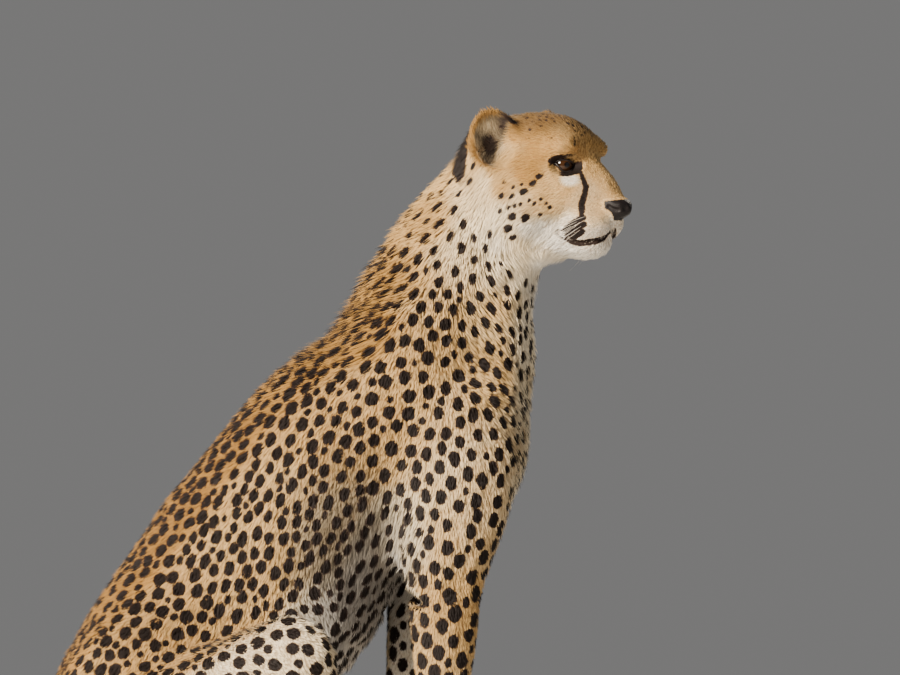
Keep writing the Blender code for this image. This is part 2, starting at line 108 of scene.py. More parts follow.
def relaxed(obj, rounds):
    """Moves each point towards the middle of its neighbours and then nearly as far back, so that
    facets go and the volume stays."""
    a, b = read(obj.data.edges, "vertices", 2, np.int32).T
    rows = points_of(obj)
    size = len(rows)
    count = np.maximum(np.bincount(a, minlength=size) + np.bincount(b, minlength=size), 1)
    for step in [0.5, -0.52] * rounds:
        middle = np.column_stack([
            np.bincount(a, rows[b, axis], size) + np.bincount(b, rows[a, axis], size)
            for axis in range(3)]) / count[:, None]
        rows = rows + (middle - rows) * step
    move_points(obj, rows)


def tree_of(places):
    """What finds the nearest of these places by its number."""
    tree = kdtree.KDTree(len(places))
    for k, place in enumerate(places):
        tree.insert(place, k)
    tree.balance()
    return tree


build = bmesh.new()
for node in sorted(nodes):
    build.from_mesh(nodes[node].data)
bmesh.ops.remove_doubles(build, verts=build.verts, dist=2e-5)
build.normal_update()
for vert in build.verts:
    vert.co += vert.normal * SOLIDS_GROW
hide = built("hide", build)
cells = hide.modifiers.new("cells", "REMESH")
cells.mode = "VOXEL"
cells.voxel_size = HIDE_CELL
apply_modifiers(hide)

# The head's own frame: origin between the eyes, first axis ahead, second to its left, third up.
eye_centre = {side: (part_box("eye_" + side)[0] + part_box("eye_" + side)[1]) / 2 for side in SIDES}
leftward = (eye_centre["left"] - eye_centre["right"]).normalized()
HEAD_AXES = np.column_stack([leftward.cross(Vector((0, 0, 1))), leftward, (0, 0, 1)])
EYES_BACK = 0.003  # of the middles of the eyeballs from the head's origin
HEAD_ORIGIN = np.array((eye_centre["left"] + eye_centre["right"]) / 2) + HEAD_AXES[:, 0] * EYES_BACK
MIDDLE_Y = sum(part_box("forepaw_" + side)[end].y for side in SIDES for end in (0, 1)) / 4


def to_head(rows):
    return (rows - HEAD_ORIGIN) @ HEAD_AXES


def from_head(rows):
    return np.asarray(rows) @ HEAD_AXES.T + HEAD_ORIGIN


rows = points_of(hide)
on_head = np.linalg.norm(to_head(rows), axis=1) < 0.15
on_paw = np.zeros(len(rows), bool)
for name in PAWS:
    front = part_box(name)[1].x
    near = np.abs(rows[:, 1] - (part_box(name)[0].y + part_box(name)[1].y) / 2) < 0.05
    on_paw |= near & (rows[:, 2] < 0.05) & (rows[:, 0] > front - 0.075) & (rows[:, 0] < front + 0.01)
thinned = hide.vertex_groups.new(name="thinned")
thinned.add(np.nonzero(~on_head & ~on_paw)[0].tolist(), 1.0, "REPLACE")
thin = hide.modifiers.new("thin", "DECIMATE")
thin.ratio = HIDE_SHARE
thin.vertex_group = "thinned"
thin.vertex_group_factor = 5.0
apply_modifiers(hide)
hide.vertex_groups.clear()
relaxed(hide, 9)

# Finer cells where the face has its small forms.
build = bmesh.new()
build.from_mesh(hide.data)
rows = to_head(points_of(hide))
fine = (rows[:, 0] > -0.022) & (np.abs(rows[:, 2] + 0.03) < 0.085) & (np.abs(rows[:, 1]) < 0.07)
edges = [edge for edge in build.edges if fine[edge.verts[0].index] and fine[edge.verts[1].index]]
bmesh.ops.subdivide_edges(build, edges=edges, cuts=1, use_grid_fill=True)
bmesh.ops.triangulate(build, faces=[face for face in build.faces if len(face.verts) > 4])
build.to_mesh(hide.data)
build.free()
relaxed(hide, 3)


# ---------------------------------------------------------------- the face's small forms
# Lids close over each eyeball but for an almond opening, hooded by the brow. Below the nose a
# groove parts the upper lip and turns back along the mouth. Lines and outlines here are in the
# head's frame, on its left side, and the right side mirrors them.
EYE_RADIUS = (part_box("eye_left")[1].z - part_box("eye_left")[0].z) / 2
LID_THICK = 0.0013
LID_DEPTH = 0.004  # of the hide behind the opening, under the front of the eyeball
EYE_AIM = math.radians(36)  # outward from straight ahead
EYE_SLANT = math.radians(12)  # the outer corner is the higher one
EYE_HALF_WIDTH = 0.0138
UPPER_LID, LOWER_LID = 0.0056, 0.009
TEAR_LINE = [(0.0158, 0.0237, -0.0001), (0.0266, 0.0303, -0.008), (0.0339, 0.0341, -0.0185),
             (0.0389, 0.0344, -0.029), (0.037, 0.0363, -0.0409), (0.0339, 0.0376, -0.0514),
             (0.0345, 0.0389, -0.0632), (0.035, 0.0389, -0.069)]
PHILTRUM = [(0.07, 0, -0.07), (0.066, 0, -0.078), (0.06, 0, -0.088)]
MOUTH = [(0.062, 0, -0.085), (0.0575, 0.0065, -0.091), (0.0505, 0.0136, -0.0972),
         (0.039, 0.0228, -0.101), (0.024, 0.0273, -0.103), (0.0148, 0.0294, -0.1012),
         (0.005, 0.033, -0.0955), (-0.0028, 0.0361, -0.0869)]


def mirrored(rows, side):
    """Left-hand rows of the head's frame, put on the given side."""
    return np.asarray(rows) * (1, 1 if side == "left" else -1, 1)


def eye_axes(side):
    """Columns: along the opening to its outer corner, up across it, and out of the eye."""
    aim = EYE_AIM if side == "left" else -EYE_AIM
    out = np.array([math.cos(aim), math.sin(aim), 0.0])
    along = np.array([-math.sin(aim), math.cos(aim), 0.0]) * (1 if side == "left" else -1)
    across = np.array([0.0, 0.0, 1.0])
    turn_c, turn_s = math.cos(EYE_SLANT), math.sin(EYE_SLANT)
    return HEAD_AXES @ np.column_stack(
        [along * turn_c + across * turn_s, across * turn_c - along * turn_s, out])


def lid_edges(along):
    """Heights of the upper and the lower edge of the eye's opening at a place along it."""
    share = np.clip(np.abs(along) / EYE_HALF_WIDTH, 0, 3)
    return UPPER_LID * (1 - share**2.8), -LOWER_LID * (1 - share**1.5)


def ramp(value, low, high):
    """0 below low, 1 above high, and smooth between."""
    t = np.clip((np.asarray(value, float) - low) / (high - low), 0, 1)
    return t * t * (3 - 2 * t)


rows = points_of(hide)
beside_eye = {}
for side in SIDES:
    local = (rows - np.array(eye_centre[side])) @ eye_axes(side)
    reach = np.linalg.norm(local, axis=1)
    flat = local / np.maximum(reach, 1e-6)[:, None] * EYE_RADIUS
    upper, lower = lid_edges(flat[:, 0])
    edge = np.maximum(flat[:, 1] - upper, lower - flat[:, 1])  # less than 0 in the opening
    edge = np.where(flat[:, 2] > 0, edge, 1.0)
    lid = EYE_RADIUS + LID_THICK
    wanted = np.where(edge < 0, EYE_RADIUS - LID_DEPTH,
                      lid + (np.maximum(reach, lid) - lid) * ramp(edge, 0.0, 0.008))
    near = (reach < 0.03) & (flat[:, 2] > 0)
    change = np.where(near, (wanted / np.maximum(reach, 1e-6) - 1), 0)
    change *= 1 - ramp(reach, 0.022, 0.03)
    rows += (rows - np.array(eye_centre[side])) * change[:, None]
    beside_eye[side] = np.where(reach < 0.03, edge, 1.0)
move_points(hide, rows)


def traced(line):
    """A line of landmarks, filled in with close points laid on the hide: the points, and how far
    along the line each is, from 0 to 1."""
    step = 0.0007
    line = from_head(line)
    places, along = [], []
    lengths = np.linalg.norm(np.diff(line, axis=0), axis=1)
    for k, length in enumerate(lengths):
        for t in np.arange(0, 1, step / length):
            places.append(line[k] * (1 - t) + line[k + 1] * t)
            along.append((lengths[:k].sum() + t * length) / lengths.sum())
    return np.array([hide_tree.find_nearest(Vector(place))[0] for place in places]), along


def gap_to(line, rows, widths):
    """How far each row is outside a line drawn on the hide with these widths, evenly spaced along
    it. Less than 0 is on the line."""
    places, along = traced(line)
    widths = np.interp(along, np.linspace(0, 1, len(widths)), widths)
    tree = tree_of(places)
    gap = np.full(len(rows), 1.0)
    reach = 0.03 + np.ptp(places, axis=0).max()
    for k in np.nonzero(np.linalg.norm(rows - places.mean(axis=0), axis=1) < reach)[0]:
        _, which, distance = tree.find(rows[k])
        gap[k] = distance - widths[which] / 2
    return gap


hide_tree = BVHTree.FromObject(hide, bpy.context.evaluated_depsgraph_get())
rows, normals = points_of(hide), points_of(hide, "normal")
groove = 0.0024 * np.exp(-(gap_to(PHILTRUM, rows, [0.0]) / 0.002) ** 2)
mouth_gap = np.full(len(rows), 1.0)
for side in SIDES:
    mouth_gap = np.minimum(mouth_gap, gap_to(mirrored(MOUTH, side), rows, [0.0]))
groove += 0.0034 * np.exp(-(mouth_gap / 0.0022) ** 2)
local = to_head(rows)
for side in SIDES:
    # The nostril is a round hole ahead, with a slit that runs out and back round the wing.
    hole = (local - mirrored((0.077, 0.0078, -0.0575), side)) / (0.007, 0.0042, 0.0046)
    groove += 0.006 * np.exp(-(hole**2).sum(axis=1))
    slit = gap_to(mirrored([(0.0735, 0.01, -0.058), (0.068, 0.0165, -0.057),
                            (0.064, 0.0195, -0.0545)], side), rows, [0.0015])
    groove += 0.0022 * np.exp(-(np.maximum(slit, 0) / 0.0014) ** 2)
rows -= normals * groove[:, None]
move_points(hide, rows)


# ---------------------------------------------------------------- the lie of the coat
# Fur lies back from the nose, down the back and flanks, and down each limb. It is longest on the
# nape, where it makes a mane, and on the belly, throat and elbows. Each station gives what the
# coat is like near it, and the hide takes a smooth blend of the stations about each point.
# A coat is: hair length and depth in mm, gold from 0 (white) to 1 (deep ochre), then the spots'
# spacing and radius in mm, and how drawn out they are along the hair. One of three numbers has no
# spots.
NO_SPOTS = (60, 0.4, 1)
BACKBONE = [  # x, z, half depth, half width; the coat of the back, of the side, of the underside
    (0.281, 0.862, 0.081, 0.062,
     (16, 7, 0.46, 20, 4.8, 2.2), (15, 5, 0.24, 19, 4.2, 1.9), (16, 7, 0.03, 40, 1.5, 1.4)),
    (0.245, 0.8, 0.098, 0.066,
     (25, 12, 0.6, 23, 6.4, 2.3), (17, 7, 0.24, 20, 6.0, 1.8), (18, 7, 0.06, 17, 5.0, 1.7)),
    (0.215, 0.728, 0.114, 0.072,
     (32, 14, 0.72, 18, 8.8, 2.4), (15, 6, 0.42, 19.5, 7.4, 1.5), (16, 6, 0.14, 16.5, 6.2, 1.9)),
    (0.194, 0.65, 0.138, 0.087,
     (25, 11, 0.84, 19, 9.2, 1.9), (11, 5, 0.48, 20, 8.6, 1.15), (15, 6, 0.2, 17.5, 7.0, 1.9)),
    (0.159, 0.576, 0.152, 0.1,
     (18, 8, 0.84, 18.5, 9.2, 1.6), (11, 5, 0.5, 20.5, 9.2, 1.1), (15, 6, 0.2, 17.5, 7.4, 1.8)),
    (0.091, 0.524, 0.154, 0.106,
     (14, 6, 0.88, 18, 9.5, 1.4), (11, 5, 0.54, 18, 8.8, 1.35), (14, 6, 0.14, 17.5, 7.4, 1.8)),
    (0.026, 0.447, 0.156, 0.104,
     (12, 5, 0.92, 18, 9.5, 1.35), (11, 5, 0.48, 17, 8.3, 1.55), (13, 6, 0.12, 16.5, 7.4, 1.9)),
    (-0.037, 0.354, 0.165, 0.096,
     (12, 5, 0.94, 18, 9.5, 1.3), (11, 5, 0.48, 17, 8.4, 1.5), (14, 6, 0.1, 16.5, 7.2, 1.9)),
    (-0.119, 0.278, 0.142, 0.097,
     (12, 5, 0.92, 18, 9.4, 1.25), (11, 5, 0.56, 18, 8.9, 1.1), (15, 6, 0.08, 18, 7.4, 1.3)),
    (-0.187, 0.208, 0.118, 0.102,
     (12, 5, 0.88, 17.5, 9.1, 1.4), (11, 5, 0.58, 18, 8.9, 1.1), (14, 5, 0.12, 19, 6.8, 1.2)),
    (-0.231, 0.135, 0.102, 0.098,
     (12, 5, 0.8, 17.5, 8.6, 1.2), (11, 5, 0.56, 18.5, 8.6, 1.1), (13, 5, 0.18, 19, 6.4, 1.2)),
    (-0.253, 0.066, 0.08, 0.08,
     (12, 5, 0.62, 17, 7.2, 1.2), (10, 4, 0.48, 18, 7.2, 1.1), (8, 3, 0.2, 19, 5.8, 1.1)),
]
LIMBS = [  # place with its distance from the middle plane, lie, coat: the same on both sides
    ((0.224, 0.078, 0.58), (0, 0, -1), (11, 5, 0.38, 20.5, 8.8, 1.35)),
    ((0.231, 0.083, 0.52), (0, 0, -1), (11, 4, 0.34, 20.5, 8.8, 1.4)),
    ((0.222, 0.078, 0.455), (0, 0, -1), (10, 4, 0.36, 20.5, 8.8, 1.4)),
    ((0.212, 0.07, 0.4), (0, 0, -1), (10, 4, 0.42, 21, 9.2, 1.25)),
    ((0.158, 0.068, 0.41), (-0.3, 0, -1), (20, 7, 0.28, 18, 7.4, 1.8)),
    ((0.209, 0.066, 0.345), (0, 0, -1), (8, 3, 0.52, 22.5, 10.2, 1.3)),
    ((0.209, 0.063, 0.285), (0, 0, -1), (8, 3, 0.5, 22.5, 10.2, 1.3)),
    ((0.207, 0.061, 0.235), (0, 0, -1), (8, 2.5, 0.44, 21, 8.6, 1.3)),
    ((0.206, 0.06, 0.19), (0, 0, -1), (8, 2.5, 0.4, 18, 6.6, 1.2)),
    ((0.207, 0.06, 0.145), (0, 0, -1), (8, 2.5, 0.36, 16, 5.4, 1.2)),
    ((0.213, 0.06, 0.095), (0.2, 0, -1), (7, 2, 0.34, 14, 4.2, 1.1)),
    ((0.223, 0.06, 0.05), (0.5, 0, -1), (6, 2, 0.32, 12, 3.2, 1.1)),
    ((0.262, 0.06, 0.03), (1, 0, -0.5), (5, 1.5, 0.3, 11, 2.2, 1.1)),
    ((-0.166, 0.15, 0.168), (0.5, 0, -0.7), (10, 4, 0.36, 19.5, 8.4, 1.1)),
    ((-0.096, 0.16, 0.198), (0.6, 0, -0.6), (9, 3, 0.24, 21, 9.2, 1.1)),
    ((-0.036, 0.16, 0.234), (0.7, 0, -0.5), (8, 3, 0.2, 21.5, 9.6, 1.1)),
    ((0.03, 0.13, 0.28), (0.6, 0, -0.8), (8, 3, 0.2, 21, 9.2, 1.1)),
    ((-0.003, 0.121, 0.215), (-0.3, 0, -1), (8, 3, 0.24, 20, 8.2, 1.1)),
    ((-0.033, 0.118, 0.155), (-0.4, 0, -1), (8, 3, 0.26, 18, 6.8, 1.1)),
    ((-0.063, 0.115, 0.095), (-0.4, 0, -1), (8, 2.5, 0.28, 16, 5.5, 1.1)),
    ((-0.085, 0.114, 0.04), (0, 0, -1), (8, 2.5, 0.28, 15, 4.6, 1.1)),
    ((-0.02, 0.116, 0.026), (1, 0, -0.1), (7, 2, 0.28, 14, 3.9, 1.1)),
    ((0.059, 0.119, 0.026), (1, 0, -0.1), (6, 2, 0.3, 13, 3.2, 1.1)),
    ((0.105, 0.121, 0.026), (1, 0, -0.4), (5, 1.5, 0.3, 11, 2.2, 1.1)),
]
TAIL = [(-0.266, -0.065, 0.11), (-0.323, -0.061, 0.064), (-0.378, -0.035, 0.033),
        (-0.421, 0.02, 0.025), (-0.427, 0.09, 0.024), (-0.393, 0.157, 0.023),
        (-0.326, 0.197, 0.023), (-0.246, 0.211, 0.023), (-0.171, 0.203, 0.023),
        (-0.121, 0.185, 0.021), (-0.091, 0.169, 0.015)]
TAIL_COAT = (14, 5, 0.72, 18, 7.4, 1.2)
RINGED_COAT = (17, 5, 0.55, 60, 0.5, 1.0)
TAIL_END_COAT = (24, 6, 0.02, 60, 0.5, 1.0)
FACE = [  # in the head's frame, on both sides
    ((0.055, 0, -0.02), (-0.7, 0, 0.7), (3, 1.0, 0.44)),
    ((0.04, 0, 0), (-0.6, 0, 0.8), (4, 1.2, 0.55)),
    ((0.015, 0, 0.045), (-0.75, 0, 0.6), (6, 2.0, 0.66, 8, 1.5, 1.5)),
    ((-0.04, 0, 0.07), (-1, 0, 0), (8, 2.5, 0.74, 8, 1.8, 1.6)),
    ((-0.11, 0, 0.07), (-0.8, 0, -0.6), (14, 4, 0.66, 10, 2.2, 1.8)),
    ((0.02, 0.035, 0.028), (-0.7, 0.5, 0.4), (5, 1.5, 0.6, 40, 0.5, 1)),
    ((-0.02, 0.058, 0.02), (-0.95, 0.1, -0.1), (6, 2.0, 0.7, 14, 1.0, 1.4)),
    ((-0.055, 0.045, 0.048), (-0.95, 0.1, 0.1), (7, 2.0, 0.8, 9, 1.8, 1.6)),
    ((-0.04, 0.066, -0.012), (-0.95, 0.1, -0.2), (6, 2.0, 0.8)),
    ((0.018, 0.045, -0.02), (-0.7, 0.3, -0.5), (4, 1.2, 0.46)),
    ((0.038, 0.036, -0.04), (-0.8, 0.3, -0.3), (3, 1.0, 0.38)),
    ((0.048, 0.03, -0.066), (-0.8, 0.4, -0.3), (3, 1.0, 0.4)),
    ((0.052, 0.02, -0.086), (-0.8, 0.4, -0.4), (2.6, 1.0, 0.02)),
    ((0.025, 0.034, -0.09), (-0.9, 0.3, -0.2), (2.6, 1.0, 0.08)),
    ((0.045, 0, -0.112), (-0.6, 0, -0.7), (6, 2.0, 0)),
    ((0.02, 0.01, -0.126), (-1, 0, -0.1), (8, 2.5, 0)),
    ((0, 0.036, -0.108), (-0.9, 0.1, -0.4), (8, 2.5, 0)),
    ((-0.01, 0.056, -0.045), (-0.9, 0.2, -0.3), (6, 2.0, 0.46)),
    ((-0.03, 0.064, -0.06), (-0.9, 0.2, -0.3), (7, 2.5, 0.38)),
    ((-0.03, 0.058, -0.088), (-0.9, 0.1, -0.5), (12, 4, 0.02)),
    ((-0.07, 0.078, -0.03), (-0.9, 0.15, -0.4), (9, 3.5, 0.76)),
    ((-0.072, 0.072, -0.072), (-0.8, 0.15, -0.6), (13, 5, 0.14, 17, 3.0, 1.9)),
    ((-0.085, 0.06, -0.105), (-0.7, 0.1, -0.7), (18, 7, 0.02, 17, 3.4, 2.0)),
    ((-0.05, 0, -0.125), (-0.8, 0, -0.5), (14, 6, 0)),
    ((-0.115, 0.07, -0.03), (-0.7, 0.2, -0.7), (15, 5, 0.36, 18, 3.4, 1.9)),
    ((-0.062, 0.072, 0.008), (-0.8, 0.1, -0.4), (7, 2.0, 0.74)),
    ((-0.078, 0.08, -0.006), (-0.8, 0.1, -0.4), (8, 2.0, 0.7)),
    ((-0.105, 0.078, 0.04), (-0.3, 0.1, 1), (7, 1.0, 0.62)),
    ((-0.072, 0.078, 0.04), (0.1, 0.2, 1), (7, 0.8, 0.66)),
]
FORELEG_SET_BACK = 0.068  # of the left forepaw behind the right one

stations = []  # place, lie, reach, coat
spine = np.array([row[:2] for row in BACKBONE])
for row, (dx, dz) in zip(BACKBONE, np.gradient(spine, axis=0)):
    x, z, depth, width, back, side_coat, under = row
    lie = np.array([dx, 0, dz]) / math.hypot(dx, dz)
    rise = np.array([lie[2], 0, -lie[0]])  # square to the spine, out of the back
    at = np.array([x, MIDDLE_Y, z])
    stations.append((at + rise * depth, lie + rise * 0.1, 0.055, back))
    stations.append((at - rise * depth, lie, 0.055, under))
    for sign in (-1, 1):
        out = np.array([0, sign * width, 0])
        stations.append((at + out + rise * depth * 0.2, lie - (0, 0, 1.3), 0.055, side_coat))
        if z > 0.64:  # on the neck the hair parts, back over the nape and forward to the throat
            stations.append((at + out * 0.8 + rise * depth * 0.62, (-0.85, 0, -0.5), 0.04, back))
            stations.append((at + out * 0.8 - rise * depth * 0.5, (0.6, 0, -0.8), 0.04, side_coat))
for place, lie, coat in LIMBS:
    for sign in (-1, 1):
        x, y, z = place
        if sign > 0 and x > 0.14:
            x -= FORELEG_SET_BACK * (0.58 - z) / 0.58
        stations.append(((x, MIDDLE_Y + sign * y, z), lie, 0.045, coat))
tail_coats = [TAIL_COAT] * (len(TAIL) - 5) + [RINGED_COAT] * 3 + [TAIL_END_COAT] * 2
for place, lie, coat in zip(TAIL, np.gradient(np.array(TAIL), axis=0), tail_coats):
    stations.append((place, lie, 0.04, coat))
for place, lie, coat in FACE:
    for sign in (-1, 1):
        flip = np.array([1, sign, 1])
        stations.append((from_head(np.array(place) * flip), HEAD_AXES @ (np.array(lie) * flip),
                         0.02, coat if len(coat) > 3 else coat + NO_SPOTS))


def blended(rows, normals):
    """The coat and its lie at each row: hair length, depth, gold, spacing, radius and draw."""
    total, values, lies = np.zeros(len(rows)), np.zeros((len(rows), 6)), np.zeros((len(rows), 3))
    for place, lie, reach, coat in stations:
        distance = np.linalg.norm(rows - place, axis=1)
        weight = 1 / (1 + (distance / reach) ** 6) / (0.2 + (distance / reach) ** 2)
        total += weight
        values += weight[:, None] * coat
        lies += weight[:, None] * (np.array(lie) / np.linalg.norm(lie))
    values /= total[:, None]
    lies -= normals * (lies * normals).sum(axis=1)[:, None]
    return values, lies / np.maximum(np.linalg.norm(lies, axis=1), 1e-6)[:, None]


rows, normals = points_of(hide), points_of(hide, "normal")
coat, lies = blended(rows, normals)
local = to_head(rows)
face = (local[:, 0] > -0.085) & (local[:, 2] < 0.036) & (np.linalg.norm(local, axis=1) < 0.16)
ears = np.linalg.norm(np.abs(local) - (0.084, 0.066, 0.05), axis=1) < 0.044
coat[face | ears, 3] = NO_SPOTS[0]  # the face's few spots are placed one by one, further down
hair, depth, gold = coat[:, 0] / 1000, coat[:, 1] / 1000, coat[:, 2]

# Inner faces of the legs, the belly and the seat are paler than what the sun reaches.
inward = -normals[:, 1] * np.sign(rows[:, 1] - MIDDLE_Y)
below_head = 1 - ramp(rows[:, 2], 0.62, 0.74)
gold -= 0.4 * ramp(inward, 0.2, 0.8) * below_head * (rows[:, 0] > -0.3)
gold -= 0.25 * ramp(-normals[:, 2], 0.3, 0.9) * below_head
gold = np.clip(gold, 0, 1)


# ---------------------------------------------------------------- the spots
# Solid black spots, round on the flanks and drawn out along the hair on the neck, chest and
# spine. They keep apart as grown ones do, each with its own bare ground, and small ones fill
# what room is left.
SPOT_SEED = 11
chance = np.random.default_rng(SPOT_SEED)
hide.data.calc_loop_triangles()
corners = read(hide.data.loop_triangles, "vertices", 3, np.int32)
sides = rows[corners]
areas = np.linalg.norm(np.cross(sides[:, 1] - sides[:, 0], sides[:, 2] - sides[:, 0]), axis=1) / 2


def scattered(count):
    """Random places on the hide, and the vertex nearest to each."""
    pick = chance.choice(len(areas), count, p=areas / areas.sum())
    share = chance.dirichlet((1, 1, 1), count)
    return (sides[pick] * share[:, :, None]).sum(axis=1), corners[pick, share.argmax(axis=1)]


spots, held = [], {}  # each spot: place, run, radius, how drawn out, and how large it grew
CELL = 0.034
for tries, size_share, room_share in ((120000, 1.0, 1.0), (50000, 0.62, 0.84)):
    places, nearest = scattered(tries)
    for place, vertex in zip(places, nearest):
        spacing, radius = coat[vertex, 3] / 1000, coat[vertex, 4] / 1000 * size_share
        if spacing > 0.045:  # too far apart for any to grow
            continue
        cell = tuple((place // CELL).astype(int))
        around = [spot for i in (-1, 0, 1) for j in (-1, 0, 1) for k in (-1, 0, 1)
                  for spot in held.get((cell[0] + i, cell[1] + j, cell[2] + k), ())]
        room = spacing * room_share  # more beside a spot that grew large
        if all((place[0] - s[0][0])**2 + (place[1] - s[0][1])**2 + (place[2] - s[0][2])**2
               > (room * (s[4] * 0.5 + 0.5))**2 for s in around):
            grown = chance.uniform(0.86, 1.1)
            spot = (place, lies[vertex], radius * grown, coat[vertex, 5], grown)
            held.setdefault(cell, []).append(spot)
            spots.append(spot)

CHEEK_SPOTS = [  # in the head's frame: place, radius
    ((-0.017, 0.0621, -0.0146), 0.004), ((-0.0244, 0.0653, -0.0238), 0.0046),
    ((-0.0358, 0.0696, -0.035), 0.0049), ((-0.0517, 0.0743, -0.0409), 0.0035),
    ((-0.0669, 0.0776, -0.04), 0.0046), ((-0.0514, 0.0723, -0.0672), 0.0054),
    ((-0.0356, 0.0652, -0.0698), 0.0054), ((-0.0606, 0.0704, -0.0843), 0.0059),
    ((-0.0179, 0.0561, -0.0659), 0.003), ((-0.0048, 0.0543, -0.0567), 0.003),
    ((-0.03, 0.067, -0.047), 0.0032), ((-0.023, 0.063, -0.05), 0.003),
    ((-0.04, 0.07, -0.052), 0.0032), ((-0.015, 0.06, -0.045), 0.0024),
    ((-0.048, 0.073, -0.053), 0.003), ((-0.009, 0.057, -0.05), 0.0024),
    ((-0.056, 0.075, -0.056), 0.0032), ((-0.068, 0.074, -0.06), 0.0038),
    ((-0.056, 0.064, -0.096), 0.0049), ((-0.038, 0.072, -0.025), 0.0027),
    ((-0.05, 0.075, -0.028), 0.0024), ((-0.064, 0.078, -0.022), 0.0027),
]
for place, radius in CHEEK_SPOTS:
    for side in SIDES:
        put = hide_tree.find_nearest(Vector(from_head(mirrored(place, side))))[0]
        spots.append((np.array(put), HEAD_AXES @ mirrored((-0.8, 0, -0.5), side), radius, 1.35, 1))

centre, along, radius, draw = (np.array([spot[k] for spot in spots]) for k in range(4))


# ---------------------------------------------------------------- the face's and tail's markings
# Black lines run from the eyes to the mouth's corners, as tears would. The lids, lips, backs of
# the ears and the last rings of the tail are black too, and the end of the tail is white.
local = to_head(rows)
mark = np.full(len(rows), 0.05)  # how far outside the nearest black mark
dusk = np.zeros(len(rows))  # soft dark brown in the hair, 0 none, 1 black brown: painted shade in the ears and on the low flank, and the crown's dark tips
EAR_MIDDLE = (-0.084, 0.063, 0.031)
EAR_LEAN, EAR_TURN = math.radians(12), math.radians(55)
STREAKS = [[(0.0371, 0.0389, -0.069), (0.022, 0.039, -0.0765), (0.004, 0.0365, -0.086)],
           [(0.0382, 0.0381, -0.078), (0.02, 0.0361, -0.0855), (0.006, 0.034, -0.0935)],
           [(0.034, 0.035, -0.087), (0.0195, 0.032, -0.094), (0.011, 0.03, -0.1)]]


def egg(centre, radii, side):
    """Distance of every point in radii of an egg: 1 is on its surface."""
    return np.linalg.norm((local - mirrored(centre, side)) / radii, axis=1)


for side in SIDES:
    sign = 1 if side == "left" else -1
    lines = [(TEAR_LINE, [0.0055, 0.005, 0.0062, 0.0078, 0.0078, 0.0088, 0.0098, 0.006]),
             ([(0.001, 0.046, 0.0075), (-0.005, 0.053, 0.008)], [0.006, 0.002]),  # the eye's outer corner
             ([(0.0164, 0.0293, 0.0368), (0.0241, 0.0383, 0.0249)], [0.0022, 0.0044]),  # the brow's wedge
             (PHILTRUM[1:], [0.0014, 0.0034]),
             (MOUTH, [0.006, 0.0072, 0.0082, 0.0084, 0.0084, 0.0082, 0.0072, 0.005]),
             ([(-0.07, 0.06, 0.064), (-0.064, 0.054, 0.0585), (-0.064, 0.04, 0.06)],  # ahead of the ear
              [0.005, 0.011, 0.006])]
    lines += [(streak, [0.0084, 0.009, 0.007]) for streak in STREAKS]
    for line, widths in lines:
        mark = np.minimum(mark, gap_to(mirrored(line, side), rows, widths))
    # A black margin about 2 mm wide round each eye's opening: the lids' real black skin, widened with
    # painted shadow from the brow.
    mark = np.minimum(mark, beside_eye[side] - 0.002)
    # The ear: a tan rim, pale grey hair in the cup, a hollow, and a black back; the cup is darkened with
    # painted shade, most in the hollow.
    lean = np.array(Euler((-EAR_LEAN * sign, 0, EAR_TURN * sign)).to_matrix())
    ear = (local - mirrored(EAR_MIDDLE, side)) @ lean
    out, ahead, above = ear[:, 0], -sign * ear[:, 1], ear[:, 2]
    outward = (normals @ HEAD_AXES) @ lean[:, 0]
    round_ear = np.hypot(ahead / 0.0355, above / 0.045)
    on_ear = (round_ear < 1.15) & (np.abs(out) < 0.03)
    back = (egg((-0.128, 0.066, 0.012), (0.026, 0.024, 0.044), side) - 1) * 0.022
    back = np.maximum(back, out + 0.007)
    behind = np.maximum(np.maximum(above - 0.022, -0.034 - above), 0.01 * (outward + 0.2))
    mark = np.minimum(mark, np.minimum(back, np.where(on_ear, behind, 1.0)))
    rear = ramp(ahead, 0.016, 0.002)  # the side of the ear away from the brow
    rim = on_ear * ramp(round_ear, 0.74, 0.88) * rear
    cup = on_ear * (1 - ramp(round_ear, 0.74, 0.88))
    # Ahead of a slanting edge the fur of the brow grows over the cup.
    grown_over = ramp(ahead - 0.6 * above, 0.004, 0.013)
    gold = gold + (0.3 - gold) * cup * (1 - grown_over)
    rim *= ramp(above, -0.036, -0.022)
    gold = gold + (0.8 - gold) * rim
    hollow = np.hypot((ahead + 0.009) / 0.011, (above + 0.002) / 0.02)
    # Painted shade over the ear's cup: deepest in its hollow and at its upper front, lighter on two
    # patches of pale hair.
    shaded = 0.76 + 0.3 * (1 - ramp(hollow, 0.45, 1.1)) + 0.3 * (1 - rear) * ramp(above, -0.01, 0.01)
    for ahead_at, above_at, wide, high in ((-0.01, 0.024, 0.015, 0.012), (-0.024, -0.012, 0.008, 0.028)):
        pale = np.hypot((ahead - ahead_at) / wide, (above - above_at) / high)
        shaded -= 0.4 * (1 - ramp(pale, 0.3, 1.1))
    front = on_ear * (1 - rear) * (1 - ramp(round_ear, 0.9, 1.12))
    inside = (outward > 0.0) * np.maximum(cup, front) * (1 - grown_over)
    dusk = np.maximum(dusk, np.clip(shaded, 0, 1) * inside)
    dusk = np.maximum(dusk, np.maximum(0.3 * rim, 0.08 * on_ear * grown_over * (outward > 0)))
    hair = np.where(inside > 0.5, 0.01, hair)
    gold *= ramp(egg((0.019, 0.044, -0.02), (0.013, 0.012, 0.009), side), 0.6, 1.4)

